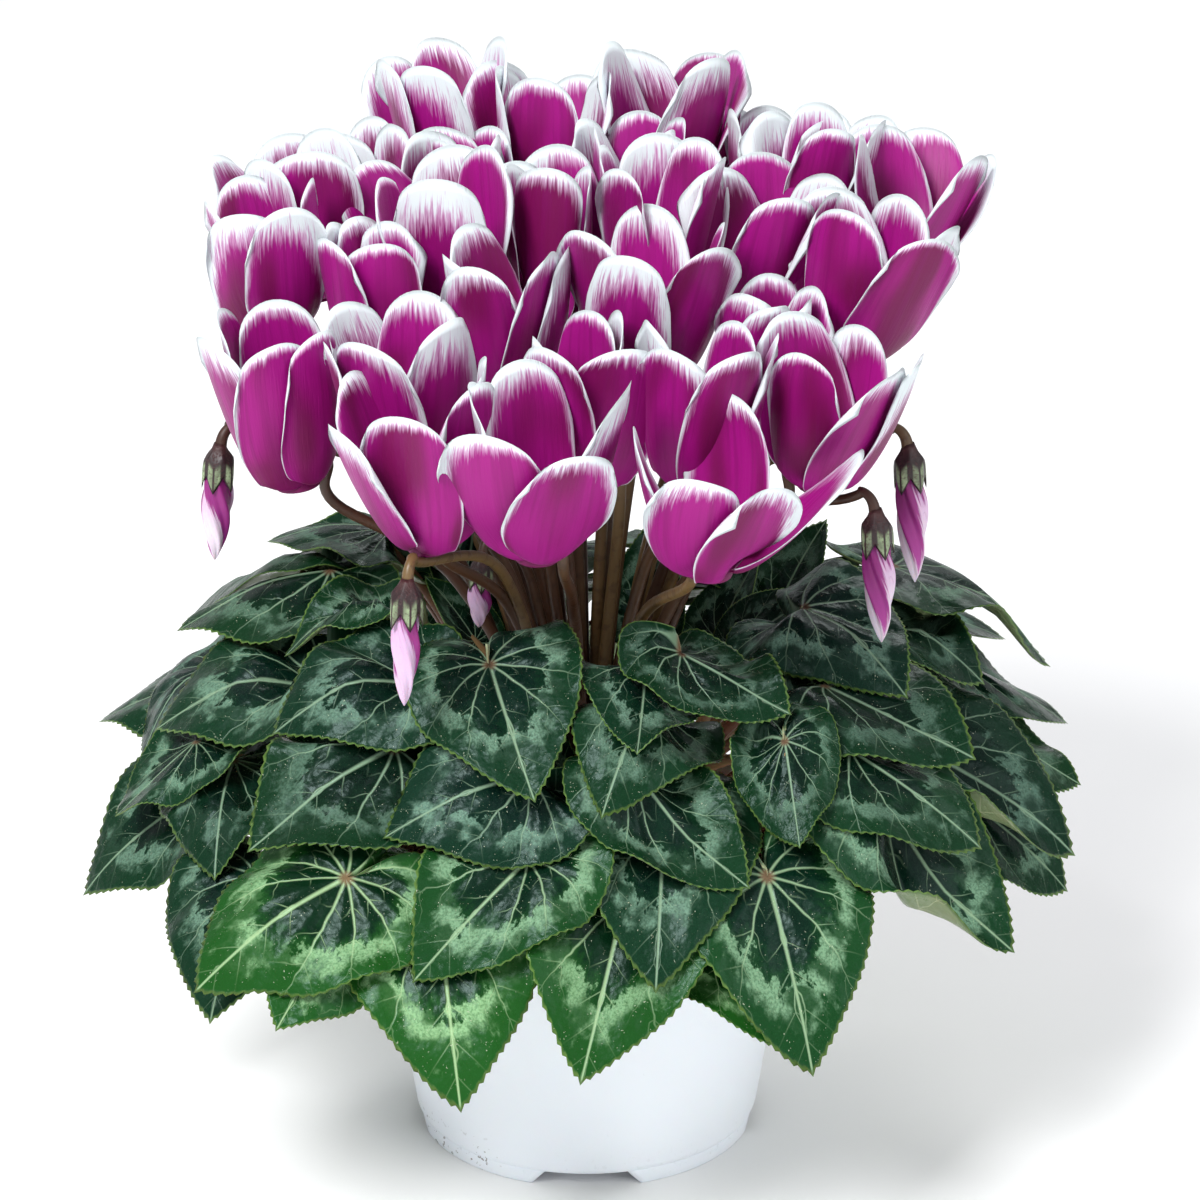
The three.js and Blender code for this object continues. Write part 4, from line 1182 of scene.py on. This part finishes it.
# %% Rolled buds
SPINDLE = [0, 0.12, 0.38, 0.7, 0.92, 1], [0.3, 0.9, 1.08, 0.8, 0.36, 0.06]
RIDGE, BUD_TWIST, BUD_TOP, BUD_TIP = 0.12, 2.6, -1.0, 0.2
SMALL_STOUT, PALE_STOUT, FULL_STOUT = 3.0, 3.4, 3.9


def bud_grid(bud):
    length, pale, flower = bud[5] + BUD_TOP, bud[0] in PALE_BUDS, bud_frame(bud)
    ends = put(flower, [[0, 0, BUD_TOP], [0, 0, BUD_TOP - length - BUD_TIP]])
    t, angle = fivefold(BUD_ROWS)
    stout = SMALL_STOUT if bud[5] < SMALL_BUD else PALE_STOUT if pale else FULL_STOUT
    wave = (np.cos(5 * angle) + 0.35 * np.cos(10 * angle + 1)) * RIDGE
    radius = stout * through(*SPINDLE, t) * (1 + wave)
    rings = round_points(radius, angle + BUD_TWIST * t, BUD_TOP - t * length)
    grid = closed_rings(put(flower, rings), ends, way=-1)
    ridge = 0.5 + 0.5 * np.cos(2 * angle - 0.9)
    for name, note in (("along", t), ("ridge", ridge), ("own", 0 * t + (0.45 if pale else 0.8))):
        grid["notes"][name] = np.append(note, [note[0, 0], note[-1, -1]])
    return grid


for bud in BUDS:
    finished("rolled_" + bud[0], bud_grid(bud), bud_skin, [bud[0]])
print("with buds:", total_triangles)

# %% [markdown]
# ## Where the leaves are
#
# The canopy is a wide dome. Each leaf is given from the lowest to the highest by its cluster, where its
# stalk joins it, the compass angle of its tip, its length, how far it hangs below the dome and how
# steeply it falls. A few young leaves, still half closed, stand nearly upright in the heart of the plant
# behind the stalks. They are small and have no solid of their own.

# %% Table of the leaves
LEAVES = [
    (1, -95, -58, -108, 46, 34, 26), (2, -68, -88, -120, 38, 28, 24), (3, 38, -88, -58, 40, 36, 36),
    (5, -41, -93, -83, 56, 24, 42), (4, 11, -96, -106, 52, 22, 40), (3, 51, -88, -71, 52, 20, 40),
    (7, 114, -14, -4, 40, 34, 36), (10, -112, -14, -168, 47, 30, 28), (10, -103, -24, -100, 42, 24, 34),
    (8, 116, 14, 2, 42, 24, 30), (20, 74, 74, 44, 50, 24, 32), (21, 36, 92, 70, 48, 24, 38),
    (22, -6, 98, 94, 50, 24, 40), (23, -44, 88, 118, 48, 24, 38), (18, -80, 74, 140, 50, 22, 30),
    (5, -67, -86, -158, 54, 26, 30), (9, 84, -62, -18, 50, 24, 32), (4, 22, -78, -92, 50, 16, 28),
    (5, -16, -92, -146, 46, 20, 34), (7, 98, -24, -8, 54, 18, 26), (9, 75, -58, -14, 46, 14, 28),
    (12, -54, -62, -158, 54, 14, 32), (5, -16, -78, -168, 46, 14, 24), (10, -114, -20, -166, 34, 20, 36),
    (11, -110, 38, 172, 44, 12, 16), (8, 110, 36, 8, 44, 12, 22), (20, 54, 67, 50, 48, 12, 24),
    (21, 22, 72, 74, 48, 12, 26), (22, -8, 75, 96, 48, 12, 26), (23, -34, 73, 118, 48, 18, 24),
    (4, 14, -80, -32, 40, 14, 24), (6, 18, -60, -110, 40, 12, 30), (13, 68, -40, -12, 50, 10, 24),
    (11, -112, 26, -152, 38, 8, 40), (14, -78, -14, 180, 56, 12, 22), (6, 17, -54, -94, 34, 9, 26),
    (16, 80, 8, -12, 46, 6, 26), (17, -76, 24, 178, 54, 8, 24), (17, -82, 48, 164, 44, 0, 8),
    (16, 84, 54, 16, 50, 0, 10), (16, 92, 36, 0, 52, 0, 14), (18, -62, 62, 138, 40, -2, 8),
    (18, -60, 38, 162, 40, -2, 8), (21, 30, 46, 62, 42, 2, 16), (22, -2, 50, 94, 42, 2, 16),
    (23, -34, 42, 128, 42, 2, 14), (12, -48, -50, -172, 48, 4, 26), (14, -61, -14, -164, 32, 0, 26),
    (13, 56, -70, -80, 28, 0, 28), (6, 27, -55, -24, 36, 0, 22), (15, 63, -16, -40, 44, 0, 28),
    (19, -27, -57, -74, 46, 0, 26),
]
YOUNG_LEAVES = [
    ("left", -35, 24, 150, 26, 18, -66), ("left", -16, 34, 100, 22, 20, -70),
    ("left", -33, 12, 160, 24, 19, -58), ("right", 57, 30, 40, 32, 10, -60),
    ("right", 39, 20, 30, 28, 20, -66), ("right", 46, 0, -12, 30, 14, -48),
    ("right", 18, 25, 80, 28, 16, -78),
]
LEAVES = [(f"leaves_{cluster:02d}", *row) for cluster, *row in LEAVES]
YOUNG_LEAVES = [("young_leaves_" + cluster, *row) for cluster, *row in YOUNG_LEAVES]
CANOPY_TOP, FALL_X, FALL_Y, FACING, FACING_ENDS = 172, 0.0022, 0.0036, 0.7, 90
DROOP, CUP, FOLD, WAVE, CREASE = 0.18, 0.18, 0.1, 0.035, 1.2
YOUNG_FOLD, YOUNG_SLIM, YOUNG_CREASE = 0.5, 0.22, 2.5


def leaf_frame(leaf):
    x, y, heading, length, drop, pitch = leaf[1:]
    turn, fall = math.radians(heading), math.radians(pitch)
    forward = np.array([math.cos(turn) * math.cos(fall), math.sin(turn) * math.cos(fall), -math.sin(fall)])
    face = FACING * min(max(1 - y / FACING_ENDS, 0), 1)
    side = 2 * FALL_X * x * math.sin(turn) + (face - 2 * FALL_Y * y) * math.cos(turn)
    left = np.array([-math.sin(turn), math.cos(turn), side])
    left = unit(left - forward * left.dot(forward))
    height = CANOPY_TOP - FALL_X * x * x - FALL_Y * y * y - drop
    return np.array([x, y, height], float), np.stack([forward, left, np.cross(forward, left)])


def leaf_points(leaf, order, angles, reach, crease=0.0, fold=FOLD):
    length, phase = leaf[4], math.radians(order * 137 % 360)
    a, b = length * reach * np.cos(angles), length * reach * np.sin(angles)
    droop = np.where(a > 0, DROOP, DROOP / 2) * a * a
    wave = WAVE * length * reach**2 * np.sin(3 * angles + phase)
    rise = fold * (np.sqrt(b * b + crease**2) - crease)
    return put(leaf_frame(leaf), np.stack([a, b, rise - (droop + CUP * b * b) / length + wave], -1))


print("leaves:", len(LEAVES), "and young leaves:", len(YOUNG_LEAVES))

# %% [markdown]
# The leaves lie on one another. The solids were draped from the lowest to the highest over a grid of
# heights, with the grid tilted to the front, and the same lifts are found again here on the same few
# corners of each leaf.

# %% Draping the few corners of each leaf
NET_ANGLES = np.radians([-150, -105, -65, -30, 0, 30, 65, 105, 150])
NET_INNER = 0.55
NET_REACH = np.array([0.46, 0.54, 0.58, 0.7, 1.0, 0.7, 0.58, 0.54, 0.46])
TILT = math.radians(22)
ABOVE = np.array([0, -math.sin(TILT), math.cos(TILT)])
BEHIND = np.array([0, math.cos(TILT), math.sin(TILT)])
NOTHING_YET, MAP_MIDDLE, SOLID_CLEARANCE, STEPS = -1000.0, 55, 1.7, 14


class HeightMap:
    def __init__(self, size, count, clearance):
        self.size, self.count, self.clearance = size, count, clearance
        self.tops = np.full(count * count, NOTHING_YET)

    def cells(self, points):
        x = np.floor(points[..., 0] / self.size + self.count / 2).astype(int)
        y = np.floor((points @ BEHIND - MAP_MIDDLE) / self.size + self.count / 2).astype(int)
        return y * self.count + x

    def needed(self, points):
        return self.tops[self.cells(points)] + self.clearance - points @ ABOVE

    def lay(self, points):
        np.maximum.at(self.tops, self.cells(points), points @ ABOVE)


def net_of(leaf, order):
    rings = [leaf_points(leaf, order, NET_ANGLES, ring * NET_REACH) for ring in (NET_INNER, 1)]
    return np.concatenate([leaf_points(leaf, order, np.zeros(1), np.zeros(1)), *rings])


corners = [((0, i, i + 1), (i, i + 9, i + 10), (i, i + 10, i + 1)) for i in range(1, 9)]
corners = np.array(corners).reshape(-1, 3)
weights = [(i, j, STEPS - i - j) for i in range(STEPS + 1) for j in range(STEPS + 1 - i)]
weights = np.array(weights) / STEPS
coarse_map = HeightMap(2, 200, SOLID_CLEARANCE)
lifts = []
for order, leaf in enumerate(LEAVES):
    net = net_of(leaf, order)
    need = coarse_map.needed(np.einsum("wk,tkx->twx", weights, net[corners])).max(axis=1)
    lift = np.zeros(len(net))
    np.maximum.at(lift, corners, need[:, None])
    net = net + lift[:, None] * ABOVE
    coarse_map.lay(np.einsum("wk,tkx->twx", weights, net[corners]))
    lifts.append(lift)
print("largest lift:", round(max(lift.max() for lift in lifts), 1), "mm")

# %% [markdown]
# Now the same leaf is grown fine: many spokes run from its stalk to the edge, spaced evenly along the
# edge, so that every second one can end in a small tooth. The few lifts are spread smoothly over it, and
# where two fine leaves would still touch, the upper one is eased up a little more.

# %% The outline and the spokes
OUTLINE_ANGLES = [0, 7, 16, 30, 47, 65, 85, 105, 128, 150, 162, 170, 176]
OUTLINE_REACH = [1.0, 0.91, 0.81, 0.71, 0.635, 0.59, 0.565, 0.55, 0.525, 0.475, 0.4, 0.26, 0.06]
RINGS = np.array([0, 0.1, 0.22, 0.35, 0.48, 0.6, 0.72, 0.82, 0.9, 0.965, 1.0])[:, None]
SPOKES_A_SIDE, TOOTH, NOTCH = 76, 0.011, OUTLINE_ANGLES[-1]
dense = np.linspace(0, NOTCH, 700)
edge = through(OUTLINE_ANGLES, OUTLINE_REACH, dense) * np.exp(1j * np.radians(dense))
walked = np.concatenate([[0], np.cumsum(np.abs(np.diff(edge)))])
side = np.interp(np.linspace(0, walked[-1], SPOKES_A_SIDE), walked, dense)
SPOKES = np.radians(np.concatenate([-side[:0:-1], side]))
teeth = np.where(np.arange(len(SPOKES)) % 2, TOOTH, -TOOTH) * (RINGS == 1)
REACH = RINGS * through(OUTLINE_ANGLES, OUTLINE_REACH, np.abs(np.degrees(SPOKES))) * (1 + teeth)
ANGLES = SPOKES + 0 * REACH
print("spokes:", len(SPOKES), "teeth:", len(SPOKES) // 2)

# %% Growing and laying the fine leaves
FINE_CLEARANCE = 1.1
fine_map = HeightMap(1.1, 380, FINE_CLEARANCE)
fine_leaves = []
for order, (leaf, lift) in enumerate(zip(LEAVES, lifts)):
    draw = draws(900 + 31 * order)
    points = leaf_points(leaf, order, ANGLES, REACH, CREASE)
    ruffle = 1.3 * np.sin(SPOKES * 7 + draw(0, 6)) + 2.2 * np.sin(SPOKES * 4 + draw(0, 6))
    ruffle = RINGS**3 * ruffle + draw(-4.0, 2.6) * RINGS**5
    inner, outer = through(NET_ANGLES, lift[1:10], SPOKES), through(NET_ANGLES, lift[10:], SPOKES)
    lifted = through([0, NET_INNER, 1], np.stack([lift[0] + 0 * inner, inner, outer]), RINGS[:, 0])
    points = points + (lifted + ruffle)[..., None] * ABOVE
    wanted = eased_moves(fine_map.needed(finer(points)), REACH.shape, wider=3, smoother=12)
    wanted[0] = wanted[0].mean()
    points = points + wanted[..., None] * ABOVE
    fine_map.lay(finer(points))
    fine_leaves.append((leaf, order, points))
slimmer = REACH * (1 - YOUNG_SLIM * np.abs(np.sin(ANGLES)))
for order, leaf in enumerate(YOUNG_LEAVES, len(LEAVES)):
    fine_leaves.append((leaf, order, leaf_points(leaf, order, ANGLES, slimmer, YOUNG_CREASE, YOUNG_FOLD)))
print("fine leaves laid:", len(fine_leaves))

# %% [markdown]
# The leaves of one cluster leave the tuber together at one growing point, and each blade ends its stalk
# just beside the notch. The blades of a cluster are one piece and their stalks another.

# %% Blades and their stalks
LEAF_THICK, STALK_STEPS, LAYER_STEP = 0.6, 26, 0.83
LOW_FROM, LOW_SPAN, FRONT_FROM, FRONT_SPAN = 17, 6, 60, 20
JOINT_RING, JOINT_SPOKE, JOINT_AHEAD, JOINT_BELOW = 5, 8, 0.2, 0.8
FIRST_STALK, NEXT_STALK = 2.0, 1.2


def from_middle(values):
    return np.concatenate([values[0, :1], values[1:].reshape(-1, *values.shape[2:])])


def leaf_blade(leaf, order, points):
    draw = draws(50 + 13 * order)
    # low_front picks the low leaves at the front, which the leaf finish paints lighter as painted light.
    low = min(max((leaf[5] - LOW_FROM) / LOW_SPAN, 0), 1)
    low_front = low * min(max((-leaf[2] - FRONT_FROM) / FRONT_SPAN, 0), 1)
    notes = {
        "share": RINGS + 0 * REACH,
        "painted_light": low_front * draw(0.6, 1) + draw(0, 0.12) + 0 * REACH,
        "own": draw(0, 1) + 0 * REACH,
        "flat": round_points(REACH, ANGLES, order * LAYER_STEP),
    }
    sheet = {
        "points": from_middle(points),
        "quads": grid_quads(len(RINGS) - 1, len(SPOKES))[:, [0, 3, 2, 1]] + 1,
        "triangles": fan(0, np.arange(1, len(SPOKES) + 1)),
        "notes": {name: from_middle(values) for name, values in notes.items()},
    }
    return blade(sheet, LEAF_THICK)


def stalk_of_leaf(foot, joint, start, own):
    out, climb = (joint - foot) * [1, 1, 0], joint[2] - foot[2]
    above_foot = foot + 0.15 * out + [0, 0, 0.45 * climb + 6]
    below_joint = joint - 0.35 * out + [0, 0, -0.12 * climb - 2]
    t = np.linspace(0, 1, STALK_STEPS)
    return {
        "points": bent_line(t[:, None], foot, above_foot, below_joint, joint),
        "along": t,
        "thick": np.interp(t, [0, 0.3, 0.65, 1], [start, 1.8, 1.6, 1.0]),
        "own": np.full(STALK_STEPS, own),
    }


for name in sorted({leaf[0] for leaf in LEAVES + YOUNG_LEAVES}):
    members = [fine for fine in fine_leaves if fine[0][0] == name]
    blades = join_grids([leaf_blade(*fine) for fine in members])
    finished(name + "_blades", blades, leaf_skin, [] if name.startswith("young") else [name])
    middle = np.mean([points[0, 0, :2] for _, _, points in members], axis=0)
    growing = unit(middle) * (LEAF_FOOT + FOOT_SPREAD * np.linalg.norm(middle))
    foot = np.array([*growing, tuber_height(*growing) - 1])
    lines = []
    for i, (_, _, points) in enumerate(members):
        ring = points[JOINT_RING, SPOKES_A_SIDE - 1 :]
        ahead = ring[0] * 0.5 + ring[1 + JOINT_SPOKE] * 0.5
        joint = points[0, 0] * (1 - JOINT_AHEAD) + ahead * JOINT_AHEAD - [0, 0, JOINT_BELOW]
        start, thick = (lines[0]["points"][1 + i], NEXT_STALK) if i else (foot, FIRST_STALK)
        lines.append(stalk_of_leaf(start, joint, thick, pick(0, 1)))
    stems(name + "_stalks", lines, leaf_stem, sides=10)
print("with leaves:", total_triangles)

# %% [markdown]
# ## Stage
#
# The plant stands on a plain pale floor in soft light from large lamps. The camera looks down on it a
# little, from far enough away that the pot's sides stay straight.

# %% Floor, light and camera
FLOOR_HALF, ROOM_COLOUR, ROOM_LIGHT = 6, (0.95, 0.97, 1.0, 1), 0.54
CAMERA_AIM, CAMERA_DISTANCE, CAMERA_TILT = Vector((0.0041, 0, 0.168)), 1.4, math.radians(22)
LENS, SENSOR = 142.8, 36
floor_paint, tree, shader = finish_of("pale_floor", Roughness=0.7)
wear(shader, Base_Color=here(tree).cloud(2, 2).tint(paint(246, 246, 246), paint(250, 250, 250)))
floor_mesh = bpy.data.meshes.new("floor")
corners = [(x * FLOOR_HALF, y * FLOOR_HALF, 0) for x, y in ((-1, -1), (1, -1), (1, 1), (-1, 1))]
floor_mesh.from_pydata(corners, [], [(0, 1, 2, 3)])
floor_mesh.materials.append(floor_paint)
floor = added("floor", floor_mesh)
world = bpy.data.worlds.new("pale_room")
world.use_nodes = True
for socket, value in zip(world.node_tree.nodes["Background"].inputs, (ROOM_COLOUR, ROOM_LIGHT)):
    feed(socket, value)
bpy.context.scene.world = world


def aimed(thing, place, aim):
    thing.location = place
    thing.rotation_euler = (Vector(aim) - Vector(place)).to_track_quat("-Z", "Y").to_euler()


for name, place, aim, size, power in (
    ("key_lamp", (-0.8, -1.2, 1.7), (0, 0, 0.18), 0.7, 44),
    ("fill_lamp", (1.5, -1.0, 0.9), (0, 0, 0.15), 1.2, 9),
    ("back_lamp", (0.3, 1.3, 1.5), (0, 0, 0.2), 1.0, 13),
):
    light = bpy.data.lights.new(name, "AREA")
    light.size, light.energy = size, power
    aimed(added(name, light), place, aim)
camera_data = bpy.data.cameras.new("photo_camera")
camera_data.lens, camera_data.sensor_width = LENS, SENSOR
camera = added("photo_camera", camera_data)
away = Vector((0, -math.cos(CAMERA_TILT), math.sin(CAMERA_TILT)))
aimed(camera, CAMERA_AIM + CAMERA_DISTANCE * away, CAMERA_AIM)
bpy.context.scene.camera = camera
bpy.context.scene.view_settings.view_transform = "Standard"
print("camera at", tuple(round(value, 3) for value in camera.location))
